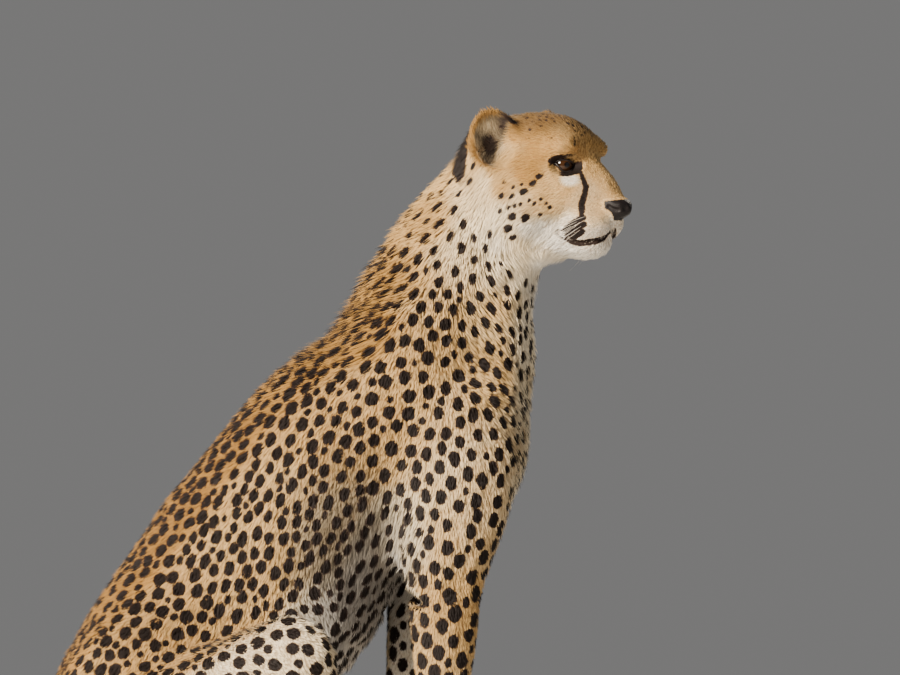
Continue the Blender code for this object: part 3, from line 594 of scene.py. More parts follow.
tail_line = []
for a, b in zip(TAIL, TAIL[1:]):
    tail_line += [np.array(a) * (1 - t) + np.array(b) * t for t in np.arange(0, 1, 0.1)]
tail_run = np.concatenate([[0], np.cumsum(np.linalg.norm(np.diff(tail_line, axis=0), axis=1))])
tail_tree = tree_of(tail_line)
on_tail = (rows[:, 0] < -0.02) & (rows[:, 2] < 0.07) & (rows[:, 1] > 0.125)
for k in np.nonzero(on_tail)[0]:
    _, which, distance = tail_tree.find(rows[k])
    left = tail_run[-1] - tail_run[which]  # from here to the tail's end
    if distance < 0.05 and 0.045 < left < 0.23:
        mark[k] = abs((left - 0.045) % 0.046 - 0.023) - 0.0115

# The crown is grizzled with dark tips. The low flank, in the hollow between the elbow and the thigh, is
# darkened and made less golden with painted shade.
crown = ramp(local[:, 2], 0.026, 0.06) * (local[:, 0] > -0.1) * (np.abs(local[:, 1]) < 0.06)
dusk = np.maximum(dusk, 0.64 * crown)
low_flank_shade = np.hypot((rows[:, 0] - 0.085) / 0.1, (rows[:, 2] - 0.385) / 0.17)
low_flank_shade = (1 - ramp(low_flank_shade, 0.3, 1.2)) * (np.abs(rows[:, 1] - MIDDLE_Y) < 0.13)
dusk = np.maximum(dusk, 0.76 * low_flank_shade)
gold -= 0.2 * low_flank_shade

# The nose's leather is bare.
leather = np.maximum(-0.074 - local[:, 2], local[:, 2] + 0.045 - 0.16 * (local[:, 0] - 0.075))
leather = np.maximum(leather, 0.0575 - local[:, 0] + 0.35 * np.maximum(-local[:, 2] - 0.06, 0)
                     + 0.55 * np.maximum(np.abs(local[:, 1]) - 0.021, 0))
leather = np.maximum(leather, (np.abs(local[:, 1]) - 0.0225 + 0.75 * np.maximum(-local[:, 2] - 0.058, 0)))

# The hide lies under the outline by the depth of the coat, but not where it is bare or meets
# the floor.
bare = ramp(leather, 0.004, 0.0) + sum(ramp(beside_eye[side], 0.005, 0.001) for side in SIDES)
depth = depth * (1 - np.clip(bare, 0, 1)) * (1 - ramp(-normals[:, 2], 0.5, 0.9) * (rows[:, 2] < 0.006))
inset = rows - normals * (depth * 0.8 + 0.0009)[:, None]
inset[:, 2] = np.maximum(inset[:, 2], 0.0012)
row_tree = tree_of(rows)
under = [row_tree.find(place)[1] for place in centre]
centre = centre + inset[under] - rows[under]
rows = inset
move_points(hide, rows)
normals = points_of(hide, "normal")

# Points on each spot and round it, by which a tuft finds the spots that it grows over.
aside = np.cross(normals[under], along)
aside /= np.maximum(np.linalg.norm(aside, axis=1), 1e-6)[:, None]
stretch = np.sqrt(draw)
on_spots = [centre]
for turn in np.arange(8) * math.pi / 4:
    on_spots.append(centre + along * (0.85 * radius * stretch * math.cos(turn))[:, None]
                    + aside * (0.85 * radius / stretch * math.sin(turn))[:, None])
spot_finder = new_object("spot finder", bpy.data.meshes.new("spot finder"))
spot_finder.data.from_pydata(np.concatenate(on_spots).tolist(), [], [])


def store(obj, name, values, kind="FLOAT", domain="POINT"):
    layer = obj.data.attributes.new(name, kind, domain)
    layer.data.foreach_set("vector" if kind == "FLOAT_VECTOR" else "value",
                           np.ascontiguousarray(values, np.float32).ravel())


lift = np.clip(np.arcsin(np.clip(depth / np.maximum(hair, 0.001), 0, 0.8)), 0.12, 0.7)
lift *= 1 + 0.35 * ramp(hair, 0.02, 0.034)  # the mane stands out
beside_eyes = np.minimum(beside_eye["left"], beside_eye["right"])
for name, values in (("drawn", mark), ("gold", gold), ("dusk", dusk), ("bare", beside_eyes),
                     ("hair", hair), ("lift", lift), ("leather", leather)):
    store(hide, name, values)
store(hide, "lie", lies, "FLOAT_VECTOR")
store(hide, "up", normals, "FLOAT_VECTOR")
store(spot_finder, "spot", np.tile(centre, (9, 1)), "FLOAT_VECTOR")
store(spot_finder, "run", np.tile(along, (9, 1)), "FLOAT_VECTOR")
store(spot_finder, "size", np.tile(radius, 9))
store(spot_finder, "draw", np.tile(draw, 9))


# ---------------------------------------------------------------- the hide's finish and the leather
# Under the tufts the hide shows as close, flat fur, in the same colours, a little darker. The nose is
# black, moist leather with a fine pebble grain.
def linear(hexed):
    """A colour typed as sRGB hex, as Blender wants it."""
    parts = [int(hexed[k:k + 2], 16) / 255 for k in (1, 3, 5)]
    return tuple(p / 12.92 if p <= 0.04045 else ((p + 0.055) / 1.055) ** 2.4 for p in parts) + (1,)


def wire(node, inputs):
    """Gives a node's inputs, by name or number, a value or another node's output."""
    for name, value in inputs.items():
        if isinstance(value, bpy.types.NodeSocket):
            node.id_data.links.new(value, node.inputs[name])
        else:
            node.inputs[name].default_value = value


def add(tree, kind, inputs=None, out=0, **settings):
    """Adds a node with these inputs and settings, and returns one of its outputs."""
    node = tree.nodes.new(kind if "Node" in kind else "ShaderNode" + kind)
    for name, value in settings.items():
        setattr(node, name, value)
    wire(node, inputs or {})
    return node.outputs[out] if node.outputs else None


COLOURS = {"data_type": "RGBA", "out": 2}  # for a node that mixes two colours


def new_material(name):
    material = bpy.data.materials.new(name)
    material.use_nodes = True
    tree = material.node_tree
    return material, tree, tree.nodes["Principled BSDF"]


def mottled(tree, scale, low, high, detail=2.0):
    """Two colours in soft patches, about this many to a metre: the colour, and how far it is
    between the two."""
    where = add(tree, "TexCoord", out="Object")
    cloud = add(tree, "TexNoise", {"Vector": where, "Scale": scale, "Detail": detail})
    return add(tree, "Mix", {0: cloud, 6: linear(low), 7: linear(high)}, **COLOURS), cloud


GROUND = [(0.00, "#F4EFE4"), (0.18, "#EBDCBC"), (0.45, "#D0AE76"), (0.72, "#B08748"), (1.00, "#8C652E")]
SPOT_BLACK, SPOT_BROWN, DUSK_BROWN = "#1B1310", "#33211A", "#2E231D"


def fur_colour(tree, mark):
    """The coat's colour: ground by how golden it is, then the marks, with a soft brown edge. The
    ground drifts in clouds of about 45 mm, and the marks' edges are ragged by locks of 2 mm."""
    where = add(tree, "TexCoord", out="Object")
    cloud = add(tree, "TexNoise", {"Vector": where, "Scale": 22.0, "Detail": 3.0})
    drift = add(tree, "Math", {0: cloud, 1: 0.24, 2: -0.12}, operation="MULTIPLY_ADD")
    gold = add(tree, "Attribute", out="Fac", attribute_name="gold")
    total = add(tree, "Math", {0: gold, 1: drift}, operation="ADD")
    ground = add(tree, "ValToRGB", {"Fac": total})
    stops = ground.node.color_ramp.elements
    stops[0].color, stops[1].color = linear(GROUND[0][1]), linear(GROUND[-1][1])
    for place, colour in GROUND[1:-1]:
        stops.new(place).color = linear(colour)
    rough = add(tree, "TexNoise", {"Vector": where, "Scale": 420.0, "Detail": 1.0})
    ragged = add(tree, "Math", {0: rough, 1: 0.002, 2: -0.001}, operation="MULTIPLY_ADD")
    edge = add(tree, "Math", {0: mark, 1: ragged}, operation="ADD")
    amount = add(tree, "MapRange", {"Value": edge, "From Min": 0.0007, "From Max": -0.0007},
                 interpolation_type="SMOOTHSTEP")
    core = add(tree, "MapRange", {"Value": edge, "From Min": 0.0, "From Max": -0.003})
    black = add(tree, "Mix", {0: core, 6: linear(SPOT_BROWN), 7: linear(SPOT_BLACK)}, **COLOURS)
    # The ground goes towards a dark brown by the dusk attribute: painted shade in the ears and on the low
    # flank, and the crown's dark tips.
    dusk = add(tree, "Attribute", out="Fac", attribute_name="dusk")
    dusky = add(tree, "Mix", {0: dusk, 6: ground, 7: linear(DUSK_BROWN)}, **COLOURS)
    return add(tree, "Mix", {0: amount, 6: dusky, 7: black}, **COLOURS)


def nearest_mark(tree, ends):
    """How far outside the drawn lines and the spots kept under these names a place is. The spots'
    edges wander by up to 3 mm over about 10 mm."""
    least = add(tree, "Attribute", out="Fac", attribute_name="drawn")
    where = add(tree, "TexCoord", out="Object")
    wide = add(tree, "TexNoise", {"Vector": where, "Scale": 95.0, "Detail": 2.0})
    wander = add(tree, "Math", {0: wide, 1: 0.0064, 2: -0.0032}, operation="MULTIPLY_ADD")
    for end in ends:
        reach = add(tree, "Attribute", out="Vector", attribute_name=end + "reach")
        size = add(tree, "Attribute", out="Fac", attribute_name=end + "size")
        off = add(tree, "VectorMath", {0: reach}, "Value", operation="LENGTH")
        off = add(tree, "Math", {0: off, 1: size}, operation="SUBTRACT")
        off = add(tree, "Math", {0: off, 1: wander}, operation="ADD")
        least = add(tree, "Math", {0: least, 1: off}, operation="MINIMUM")
    return least


# Short dry hair, which looks matt. Its nap has ridges 1.1 mm apart: hair is finer, but would not show.
under_fur, tree, shader = new_material("close fur")
colour = fur_colour(tree, nearest_mark(tree, ("",)))
nap = add(tree, "TexNoise", {"Vector": add(tree, "TexCoord", out="Object"), "Scale": 900.0,
                             "Detail": 2.0})
wire(shader, {
    "Base Color": add(tree, "Mix", {0: 1.0, 6: colour, 7: linear("#C9C0B8")}, **COLOURS,
                      blend_type="MULTIPLY"),
    "Normal": add(tree, "Bump", {"Height": nap, "Strength": 0.5, "Distance": 0.001}),
    "Roughness": 0.75, "Specular IOR Level": 0.2})

# Bare, moist skin with a soft shine over its pebbles, 0.9 mm across. Its black drifts over 6 mm.
leather_skin, tree, shader = new_material("nose leather")
pebbles = add(tree, "TexVoronoi", {"Vector": add(tree, "TexCoord", out="Object"),
                                   "Scale": 1100.0})
wire(shader, {
    "Base Color": mottled(tree, 160.0, "#0A0708", "#191314")[0],
    "Normal": add(tree, "Bump", {"Height": pebbles, "Strength": 0.45, "Distance": 0.0006}),
    "Roughness": 0.46, "Specular IOR Level": 0.25})

# The nose is the hide's own front, parted off along the edge of its leather.
LEATHER_EDGE = 0.0002
face_leather = np.array([leather[list(face.vertices)].max() for face in hide.data.polygons])
hide.data.materials.append(under_fur)
hide.data.shade_smooth()


def faces_of(obj, keep, name):
    """A new object of the chosen faces, with all that is stored on their points."""
    build = bmesh.new()
    build.from_mesh(obj.data)
    build.faces.ensure_lookup_table()
    bmesh.ops.delete(build, geom=[f for f, kept in zip(build.faces, keep) if not kept],
                     context="FACES")
    part = built(name, build)
    for material in obj.data.materials:
        part.data.materials.append(material)
    return part


nose = faces_of(hide, face_leather < LEATHER_EDGE, "nose_leather")
skin = faces_of(hide, face_leather >= LEATHER_EDGE, "skin")
nose.data.materials.clear()
nose.data.materials.append(leather_skin)


# ---------------------------------------------------------------- the tufts
# A tuft is three blades that spring from one root and close at their tips. Each blade is a low
# ridge, so that it takes light like a lock of hair. Geometry nodes plant them on each part of the
# hide, lay them along its lie and lift them by the depth of the coat.
def tuft_template(name, blades, bent):
    """A tuft of unit length along X and about unit width. Blades are (root offset, tip offset,
    start, length)."""
    points, faces, tips = [], [], []
    rings = (0.0, 0.5) if bent else (0.0,)
    for root, tip, start, length in blades:
        base = len(points)
        for t in rings:
            middle = root + (tip - root) * t
            half = 0.19 * (1 - 0.25 * t)
            arch = 0.3 * math.sin(math.pi * t)
            x = start + length * t
            points += [(x, middle - half, arch - 0.1), (x + 0.02, middle, arch + 0.14),
                       (x, middle + half, arch - 0.1)]
            tips += [t] * 3
        points.append((start + length, tip, -0.25 if bent else 0.0))
        tips.append(1.0)
        a = base
        if bent:
            faces += [(a, a + 3, a + 4, a + 1), (a + 1, a + 4, a + 5, a + 2)]
            a += 3
        faces += [(a, a + 3, a + 1), (a + 1, a + 3, a + 2)]
    mesh = bpy.data.meshes.new(name)
    mesh.from_pydata(points, [], faces)
    tuft = new_object(name, mesh)
    store(tuft, "tip", tips)
    store(tuft, "patch", np.array(points) * (1, 1, 0) + (0, 0.5, 0), "FLOAT_VECTOR")
    return tuft


SHORT_TUFT = tuft_template("short tuft", [(-0.42, -0.1, 0.0, 0.92), (0.0, 0.02, 0.06, 1.0),
                                          (0.4, 0.14, -0.05, 0.86)], bent=False)
LONG_TUFT = tuft_template("long tuft", [(-0.36, -0.06, 0.0, 0.9), (0.02, 0.0, 0.05, 1.0),
                                        (0.38, 0.1, -0.04, 0.84)], bent=True)
TUFT_ENDS = {"lower ": 0.3, "middle ": 0.62, "upper ": 0.95}  # how far along the tuft each is
PATCH_SIZE = 0.003  # of a tuft on the unwrap of the skin
FLOOR_GAP = 0.0004  # from the floor to the lowest tip


def coat_tree():
    """Geometry nodes that plant tufts on the faces they are given."""
    tree = bpy.data.node_groups.new("coat", "GeometryNodeTree")
    for name, kind in (("Geometry", "Geometry"), ("Tuft", "Object"), ("Width", "Float"),
                       ("Tufts per square metre", "Float"), ("Seed", "Int"), ("Finish", "Material")):
        tree.interface.new_socket(name, in_out="INPUT", socket_type="NodeSocket" + kind)
    tree.interface.new_socket("Geometry", in_out="OUTPUT", socket_type="NodeSocketGeometry")
    given = add(tree, "NodeGroupInput").node.outputs

    numbers = ["hair", "lift", "gold", "dusk", "drawn", "size", "draw"]
    vectors = ["lie", "up", "spot", "run", "patch", "UVMap"]
    for end in TUFT_ENDS:
        numbers.append(end + "draw")
        vectors += [end + "spot", end + "run"]
    stored = {name: add(tree, "GeometryNodeInputNamedAttribute", {"Name": name},
                        data_type="FLOAT" if name in numbers else "FLOAT_VECTOR")
              for name in numbers + vectors}
    chances = []
    for low, high in ((0.0, 1.0), (-1.35, -0.65), (-0.35, 0.35), (-0.2, 0.2), (0.72, 1.12)):
        seed = add(tree, "Math", {0: given["Seed"], 1: len(chances) + 1.0}, operation="ADD")
        chances.append(add(tree, "FunctionNodeRandomValue", {2: low, 3: high, "Seed": seed}, 1,
                           data_type="FLOAT"))

    roots = add(tree, "GeometryNodeDistributePointsOnFaces",
                {"Mesh": given["Geometry"], "Density": given["Tufts per square metre"],
                 "Seed": given["Seed"]})
    place = add(tree, "GeometryNodeInputPosition")

    def under_tuft(share):
        """The place that lies below this share of a tuft's length."""
        ahead = add(tree, "Math", {0: stored["hair"], 1: share}, operation="MULTIPLY")
        ahead = add(tree, "VectorMath", {0: stored["lie"], "Scale": ahead}, operation="SCALE")
        return add(tree, "VectorMath", {0: place, 1: ahead}, operation="ADD")

    def keep(geometry, rows):
        """The geometry with each row's value stored on it: name, value, kind and domain."""
        for name, value, kind, domain in rows:
            geometry = add(tree, "GeometryNodeStoreNamedAttribute",
                           {"Geometry": geometry, "Name": name, "Value": value},
                           data_type=kind, domain=domain)
        return geometry

    # A tuft's ground colour is that of the hide under the part of it that shows. It may cross
    # two or three spots: those nearest to its lower end, to its middle and to its tip.
    rows = [("chance", chances[0], "FLOAT", "POINT")]
    for name in ("gold", "dusk"):
        rows.append((name, add(tree, "GeometryNodeSampleNearestSurface",
                               {"Mesh": given["Geometry"], "Value": stored[name],
                                "Sample Position": under_tuft(0.6)}, data_type="FLOAT"),
                     "FLOAT", "POINT"))
    finder = add(tree, "GeometryNodeObjectInfo", {"Object": spot_finder}, "Geometry")
    for end, share in TUFT_ENDS.items():
        closest = add(tree, "GeometryNodeSampleNearest",
                      {"Geometry": finder, "Sample Position": under_tuft(share)})
        for name, kind in (("size", "FLOAT"), ("draw", "FLOAT"), ("spot", "FLOAT_VECTOR"),
                           ("run", "FLOAT_VECTOR")):
            rows.append((end + name, add(tree, "GeometryNodeSampleIndex",
                                         {"Geometry": finder, "Value": stored[name],
                                          "Index": closest}, data_type=kind), kind, "POINT"))
    laid = add(tree, "FunctionNodeAxesToRotation",
               {"Primary Axis": stored["up"], "Secondary Axis": stored["lie"]},
               primary_axis="Z", secondary_axis="X")
    rise = add(tree, "Math", {0: stored["lift"], 1: chances[1]}, operation="MULTIPLY")
    lean = add(tree, "CombineXYZ", {0: chances[2], 1: rise, 2: chances[3]})
    turned = add(tree, "FunctionNodeRotateRotation",
                 {"Rotation": laid, "Rotate By": add(tree, "FunctionNodeEulerToRotation", {0: lean})},
                 rotation_space="LOCAL")
    length = add(tree, "Math", {0: stored["hair"], 1: chances[4]}, operation="MULTIPLY")
    size = add(tree, "CombineXYZ", {0: length, 1: given["Width"], 2: given["Width"]})
    tuft = add(tree, "GeometryNodeObjectInfo", {"Object": given["Tuft"]}, "Geometry")
    planted = add(tree, "GeometryNodeInstanceOnPoints",
                  {"Points": keep(roots, rows), "Instance": tuft, "Rotation": turned, "Scale": size})
    real = add(tree, "GeometryNodeRealizeInstances", {0: planted})
    # No tip hangs below the floor.
    x, y, z = add(tree, "SeparateXYZ", {0: place}).node.outputs
    height = add(tree, "Math", {0: z, 1: FLOOR_GAP}, operation="MAXIMUM")
    real = add(tree, "GeometryNodeSetPosition",
               {"Geometry": real, "Position": add(tree, "CombineXYZ", {0: x, 1: y, 2: height})})

    # The spots and lines are drawn over the finished coat, so that they keep their outline.
    drawn = add(tree, "GeometryNodeSampleNearestSurface",
                {"Mesh": given["Geometry"], "Value": stored["drawn"], "Sample Position": place},
                data_type="FLOAT")
    rows = [("drawn", drawn, "FLOAT", "POINT")]
    for end in TUFT_ENDS:
        off = add(tree, "VectorMath", {0: place, 1: stored[end + "spot"]}, operation="SUBTRACT")
        run = stored[end + "run"]
        aside = add(tree, "VectorMath", {0: stored["up"], 1: run}, operation="CROSS_PRODUCT")
        aside = add(tree, "VectorMath", {0: aside}, operation="NORMALIZE")
        stretch = add(tree, "Math", {0: stored[end + "draw"]}, operation="SQRT")
        ahead = add(tree, "VectorMath", {0: off, 1: run}, 1, operation="DOT_PRODUCT")
        across = add(tree, "VectorMath", {0: off, 1: aside}, 1, operation="DOT_PRODUCT")
        rows.append((end + "reach", add(tree, "CombineXYZ", {
            0: add(tree, "Math", {0: ahead, 1: stretch}, operation="DIVIDE"),
            1: add(tree, "Math", {0: across, 1: stretch}, operation="MULTIPLY")}),
            "FLOAT_VECTOR", "POINT"))
    corner = add(tree, "VectorMath", {0: stored["patch"], 1: (0.5, 0.5, 0.0)}, operation="SUBTRACT")
    corner = add(tree, "VectorMath", {0: corner, "Scale": PATCH_SIZE}, operation="SCALE")
    patch = add(tree, "VectorMath", {0: corner, 1: stored["UVMap"]}, operation="ADD")
    rows.append(("OFBake", patch, "FLOAT2", "CORNER"))
    finished = add(tree, "GeometryNodeSetMaterial",
                   {"Geometry": keep(real, rows), "Material": given["Finish"]})
    add(tree, "NodeGroupOutput", {0: finished})
    return tree


COAT_TREE = coat_tree()

# Each tuft has its own tone, is darker at its root as painted shade deep in the coat, and the marks'
# edges are a little ragged by tuft. A faint sheen stands for the light that gets through the hair's tips.
tuft_fur, tree, shader = new_material("spotted fur")
fluke = add(tree, "Attribute", out="Fac", attribute_name="chance")
tip = add(tree, "Attribute", out="Fac", attribute_name="tip")
shade = add(tree, "MapRange", {"Value": fluke, "To Min": 0.88, "To Max": 1.1})
# Painted shade: each tuft darkens towards its root.
root = add(tree, "MapRange", {"Value": tip, "From Max": 0.8, "To Min": 0.8, "To Max": 1.05})
both = add(tree, "Math", {0: shade, 1: root}, operation="MULTIPLY")
grey = add(tree, "CombineColor", {0: both, 1: both, 2: both})
ragged = add(tree, "Math", {0: fluke, 1: 0.0018, 2: -0.0009}, operation="MULTIPLY_ADD")
marked = add(tree, "Math", {0: nearest_mark(tree, TUFT_ENDS), 1: ragged}, operation="ADD")
wire(shader, {
    "Base Color": add(tree, "Mix", {0: 1.0, 6: fur_colour(tree, marked), 7: grey}, **COLOURS,
                      blend_type="MULTIPLY"),
    "Roughness": 0.62, "Specular IOR Level": 0.22, "Sheen Weight": 0.12, "Sheen Roughness": 0.45})

# Each coat covers the hide over some of the solids: its name, those solids' names, its tuft and
# the width of one.
FIRST_COAT_SEED = 100
COATS = [
    ("coat_head", ("head", "nose", "ear", "eye"), SHORT_TUFT, 0.0014),
    ("coat_neck", ("neck",), LONG_TUFT, 0.0024),
    ("coat_chest", ("chest",), SHORT_TUFT, 0.0023),
    ("coat_loins", ("loins",), SHORT_TUFT, 0.0022),
    ("coat_rump", ("rump",), SHORT_TUFT, 0.0022),
    ("coat_forelegs", ("forearm", "forepaw"), SHORT_TUFT, 0.0016),
    ("coat_hindlegs", ("thigh", "shank", "hindfoot"), SHORT_TUFT, 0.0022),
    ("coat_tail", ("tail",), SHORT_TUFT, 0.002),
]
MOST_TRIANGLES = 180000  # in one coat
BARE_EDGE = 0.0006  # no tuft is rooted nearer than this to the eye's opening

owners = [name for name in sorted(nodes) for _ in nodes[name].data.vertices]
solid_tree = tree_of([vert.co for name in sorted(nodes) for vert in nodes[name].data.vertices])
owner = [owners[solid_tree.find(row)[1]] for row in points_of(skin)]
bare = read(skin.data.attributes["bare"].data, "value")
faces = skin.data.polygons
can_grow = [min(bare[k] for k in face.vertices) >= BARE_EDGE for face in faces]
coats = []
for number, (name, parts, tuft, width) in enumerate(COATS):
    keep = [free and owner[face.vertices[0]].startswith(parts) for face, free in zip(faces, can_grow)]
    coat_piece = faces_of(skin, keep, name)
    bpy.context.view_layer.objects.active = coat_piece
    coat_piece.select_set(True)
    bpy.ops.object.mode_set(mode="EDIT")
    bpy.ops.mesh.select_all(action="SELECT")
    bpy.ops.uv.smart_project(angle_limit=math.radians(66), island_margin=0.002)
    bpy.ops.object.mode_set(mode="OBJECT")
    coat_piece.select_set(False)
    area = sum(face.area for face in coat_piece.data.polygons)
    each = 18 if tuft is LONG_TUFT else 6  # triangles of a tuft
    planting = coat_piece.modifiers.new("coat", "NODES")
    planting.node_group = COAT_TREE
    wanted = {"Tuft": tuft, "Tufts per square metre": MOST_TRIANGLES / each / area,
              "Width": width, "Seed": FIRST_COAT_SEED + number, "Finish": tuft_fur}
    for item in COAT_TREE.interface.items_tree:
        if item.in_out == "INPUT" and item.name in wanted:
            planting[item.identifier] = wanted[item.name]
    apply_modifiers(coat_piece)
    used_up = ["UVMap", "patch", "lie", "up", "hair", "lift", "leather", "bare"]
    used_up += [end + name for end in TUFT_ENDS for name in ("spot", "run", "draw")]
    for layer_name in used_up:
        layer = coat_piece.data.attributes.get(layer_name)
        if layer:
            coat_piece.data.attributes.remove(layer)
    coat_piece.data.shade_smooth()
    coats.append(coat_piece)
for helper in (SHORT_TUFT, LONG_TUFT, spot_finder, hide):
    bpy.data.objects.remove(helper)


# The skin's spots are kept by corner, as the place in the spot that its face lies nearest to. So
# their edges stay sharp on faces that are as large as the spot.
def in_spot(rows, ups, which):
    """Where each row is in one spot, in a frame in which that spot is round."""
    off, run = rows - centre[which], along[which]
    aside = np.cross(ups, run)
    aside /= np.maximum(np.linalg.norm(aside, axis=1), 1e-6)[:, None]
    stretch = np.sqrt(draw[which])
    return np.column_stack([(off * run).sum(axis=1) / stretch, (off * aside).sum(axis=1) * stretch,
                            np.zeros(len(off))])


middles, ups = read(faces, "center", 3), read(faces, "normal", 3)
corners = read(skin.data.loops, "vertex_index", kind=np.int32)
totals = read(faces, "loop_total", kind=np.int32)
spot_tree = tree_of(centre)
near = np.array([[found[1] for found in spot_tree.find_n(row, 4)] for row in middles])
gaps = np.array([np.linalg.norm(in_spot(middles, ups, column), axis=1) - radius[column]
                 for column in near.T])
nearest = np.repeat(near[np.arange(len(near)), gaps.argmin(axis=0)], totals)
store(skin, "reach", in_spot(points_of(skin)[corners], np.repeat(ups, totals, axis=0), nearest),
      "FLOAT_VECTOR", "CORNER")
store(skin, "size", radius[nearest], "FLOAT", "CORNER")
flesh = [name for name in nodes if not name.startswith(("eye_", "nose"))]
for piece in [skin] + coats:
    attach(piece, "root")
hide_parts(*flesh)
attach(nose, "root")
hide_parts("nose")


# ---------------------------------------------------------------- the eyes
# A round eyeball with the cornea's bulge. The iris is a dark brown with darker threads and rim, painted
# far darker than a cheetah's amber for the shade of the brow, as is the eyeball round it. The pupil is
# round, as a cheetah's is. The lids' margins are bare black skin.
IRIS_RADIUS = 0.0106
PUPIL_RADIUS = 0.0036
CORNEA_RADIUS = 0.0114
CORNEA_BULGE = 0.0013
# A wet cornea shines almost like glass. The iris has about a hundred threads round it.
eye_finish, tree, shader = new_material("wet eye")
off = add(tree, "Attribute", out="Fac", attribute_name="off")
ray = add(tree, "Attribute", out="Vector", attribute_name="round")
ray = add(tree, "VectorMath", {0: ray, 1: (1.0, 1.0, 0.0)}, operation="MULTIPLY")
ray = add(tree, "VectorMath", {0: ray}, operation="NORMALIZE")
seen = add(tree, "TexNoise", {"Vector": ray, "Scale": 16.0, "Detail": 4.0})  # threads
seen = add(tree, "Mix", {0: seen, 6: linear("#1D1108"), 7: linear("#3E2511")}, **COLOURS)
for inner, outer, within, beyond in (
        (0.0072, IRIS_RADIUS, None, "#0E0805"),
        (PUPIL_RADIUS - 0.0002, PUPIL_RADIUS + 0.0003, "#050304", None),
        (IRIS_RADIUS, IRIS_RADIUS + 0.0008, None, "#1E1512")):
    past = add(tree, "MapRange", {"Value": off, "From Min": inner, "From Max": outer})
    seen = add(tree, "Mix", {0: past, 6: linear(within) if within else seen,
                             7: linear(beyond) if beyond else seen}, **COLOURS)
wire(shader, {"Base Color": seen, "Roughness": 0.06, "Specular IOR Level": 0.35})

for side in SIDES:
    name = "eye_" + side
    build = bmesh.new()
    bmesh.ops.create_uvsphere(build, u_segments=48, v_segments=32, radius=EYE_RADIUS)
    for vert in build.verts:
        off = math.hypot(vert.co.x, vert.co.y)
        if vert.co.z > 0 and off < CORNEA_RADIUS:
            vert.co.z += CORNEA_BULGE * (1 - (off / CORNEA_RADIUS)**2)
    eye = built("eyeball_" + side, build)
    radial = points_of(eye)
    ahead = radial[:, 2] > 0
    store(eye, "off", np.where(ahead, np.hypot(radial[:, 0], radial[:, 1]), 0.02))
    store(eye, "round", radial, "FLOAT_VECTOR")
    axes = Matrix(eye_axes(side).tolist()).to_4x4()
    eye.data.transform(Matrix.Translation(eye_centre[side]) @ axes)
    eye.data.shade_smooth()
    eye.data.materials.append(eye_finish)
    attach(eye, "root")
    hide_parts(name)

# Bare black skin, damp from the eye, with creases 1.4 mm apart.
lid_skin, tree, shader = new_material("lid skin")
colour, grain = mottled(tree, 700.0, "#0E0A09", "#231A17")
wire(shader, {"Base Color": colour, "Roughness": 0.35,
              "Normal": add(tree, "Bump", {"Height": grain, "Strength": 0.3, "Distance": 0.0005})})


def rod(name, paths, sides, finish):
    """Round rods along paths of (place, radius), as one piece with closed ends."""
    build = bmesh.new()
    for path in paths:
        rings = []
        path = [(Vector(place), thick) for place, thick in path]
        for k, (place, thick) in enumerate(path):
            ahead = (path[min(k + 1, len(path) - 1)][0] - path[max(k - 1, 0)][0]).normalized()
            side = ahead.orthogonal().normalized() if not rings else \
                (previous - ahead * previous.dot(ahead)).normalized()
            previous = side
            up = ahead.cross(side)
            rings.append([build.verts.new(place + (side * math.cos(a) + up * math.sin(a)) * thick)
                          for a in np.arange(sides) * math.tau / sides])
        for lower, upper in zip(rings, rings[1:]):
            for k in range(sides):
                build.faces.new((lower[k], lower[(k + 1) % sides], upper[(k + 1) % sides],
                                 upper[k]))
        build.faces.new(rings[0][::-1])
        build.faces.new(rings[-1])
    piece = built(name, build)
    piece.data.shade_smooth()
    piece.data.materials.append(finish)
    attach(piece, "root")


for side in SIDES:
    paths = []
    for pick in (0, 1):
        path = []
        for t in np.linspace(-1.04, 1.04, 29):  # a little past both corners
            along = t * EYE_HALF_WIDTH
            across = lid_edges(along)[pick]
            out = math.sqrt(max(EYE_RADIUS**2 - along**2 - across**2, 0))
            place = np.array([along, across, out]) * (EYE_RADIUS + 0.0008) / EYE_RADIUS
            thick = 0.0011 * (1 - 0.4 * abs(t)**3)
            path.append((np.array(eye_centre[side]) + eye_axes(side) @ place, thick))
        paths.append(path)
    rod("lids_" + side, paths, 8, lid_skin)


# ---------------------------------------------------------------- whiskers
# Stiff pale hairs in four rows on each side of the upper lip, swept back and down.
WHISKER_SEED = 5
chance = np.random.default_rng(WHISKER_SEED)
# Smooth, hard hair with a low gloss, whose tone drifts over 17 mm.
whisker_hair, tree, shader = new_material("whisker hair")
wire(shader, {"Base Color": mottled(tree, 60.0, "#CFC6B6", "#F4EFE6")[0], "Roughness": 0.4})
paths = []
for side in SIDES:
    for row in range(4):
        for k in range(4):
            root = (0.04 - 0.008 * k - 0.003 * row, 0.04, -0.068 - 0.0065 * row)
            place, normal, _, _ = hide_tree.find_nearest(Vector(from_head(mirrored(root, side))))
            reach = (0.038 + 0.01 * k) * chance.uniform(0.8, 1.15)
            sweep = HEAD_AXES @ mirrored((-0.78, 0.4, -0.36 - 0.06 * row), side)
            start = (np.array(normal) * 0.8 + sweep * 0.5)
            path = []
            for t in np.linspace(0, 1, 9):
                bend = start * (1 - t) * t * 0.7 + sweep * t + np.array((0, 0, -0.14)) * t**2
                path.append((np.array(place) + bend * reach, 0.00024 * (1 - 0.8 * t)))
            paths.append(path)
rod("whiskers", paths, 5, whisker_hair)
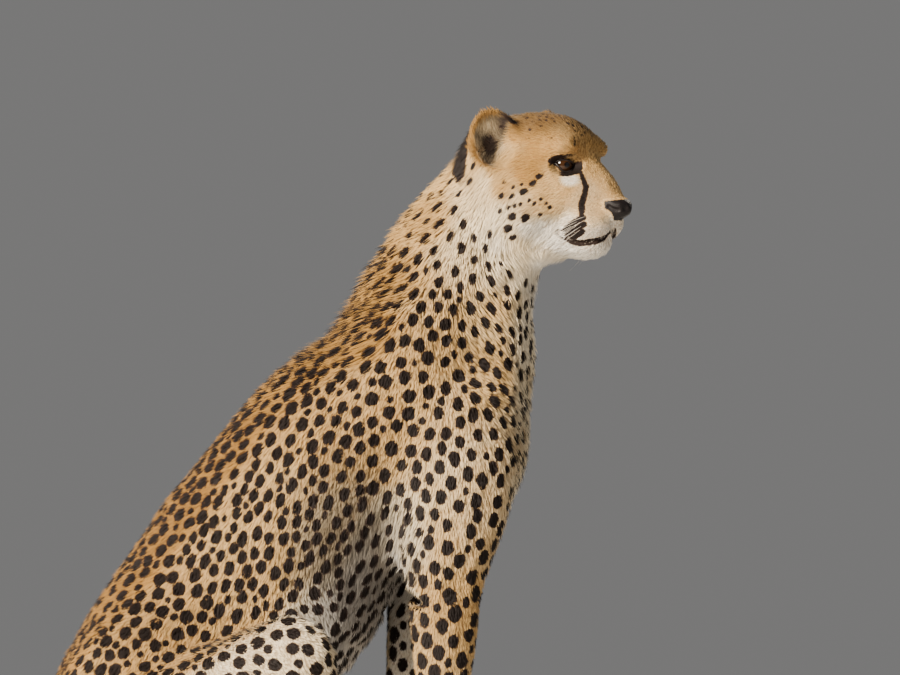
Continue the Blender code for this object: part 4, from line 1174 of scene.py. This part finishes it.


# ---------------------------------------------------------------- claws
# Blunt, curved horn, always part out as in no other cat. One to each toe.
# Worn horn has a dull polish, and its colour changes in patches 4 mm across.
horn, tree, shader = new_material("claw horn")
wire(shader, {"Base Color": mottled(tree, 240.0, "#1E1814", "#6B5A48", 3.0)[0], "Roughness": 0.3})
HINDFOOT_OUT = 0.121  # of the middle of a hind foot from the middle plane
paths = []
for name in PAWS:
    low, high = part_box(name)
    middle = np.array([high.x, (low.y + high.y) / 2 if name.startswith("fore") else
                       MIDDLE_Y + HINDFOOT_OUT * (1 if name.endswith("left") else -1), 0])
    for across, back in ((-0.03, 0.008), (-0.0105, 0.0), (0.0105, 0.0), (0.03, 0.008)):
        path = []
        for t in np.linspace(0, 1, 8):
            path.append((middle + (-0.016 - back + 0.015 * t, across * (1 + 0.05 * t),
                                   0.015 - 0.0105 * t**1.8), 0.003 * (1 - t)**0.7 + 0.0003))
        paths.append(path)
rod("claws", paths, 8, horn)


# ---------------------------------------------------------------- floor, light and camera
# A pale floor that runs out far on the camera's side and ends out of its sight behind the animal,
# a warm key from high behind the animal's right side and a long lens level with its shoulder.
build = bmesh.new()
bmesh.ops.create_circle(build, cap_ends=True, segments=96, radius=30.0)
floor = built("floor", build)
# Painted plaster: matt, and even but for faint patches a third of a metre across.
plaster, tree, shader = new_material("painted plaster")
wire(shader, {"Base Color": mottled(tree, 3.0, "#D6D3CD", "#DEDBD5")[0], "Roughness": 0.85})
floor.data.materials.append(plaster)
floor.location = (0, -25.4, 0)

world = bpy.data.worlds.new("studio")
bpy.context.scene.world = world
world.use_nodes = True
wire(world.node_tree.nodes["Background"], {"Color": linear("#DAD9D8"), "Strength": 0.27})

LOOK_AT = Vector((0.215, -0.1, 0.6803))
for name, place, size, power, colour in (
        ("key", (-3.0, -3.5, 2.9), 0.9, 880, "#FFF1DF"),
        ("fill", (2.8, -2.6, 1.2), 2.5, 8, "#EAF0FF"),
        ("rim", (1.6, 2.6, 2.6), 1.4, 40, "#FFF4E4")):
    light = bpy.data.lights.new(name, "AREA")
    light.size, light.energy, light.color = size, power, linear(colour)[:3]
    lamp = new_object(name, light)
    lamp.location = place
    lamp.rotation_euler = (LOOK_AT - Vector(place)).to_track_quat("-Z", "Y").to_euler()

DISTANCE = 9.0
VIEW_WIDTH = 1.184
SENSOR_WIDTH = 36.0
lens = bpy.data.cameras.new("camera")
lens.sensor_width = SENSOR_WIDTH
lens.lens = SENSOR_WIDTH * DISTANCE / VIEW_WIDTH
lens.clip_end = 60.0
camera = new_object("camera", lens)
camera.location = LOOK_AT - Vector((0, DISTANCE, 0))
camera.rotation_euler = (math.radians(90), 0, 0)
bpy.context.scene.camera = camera
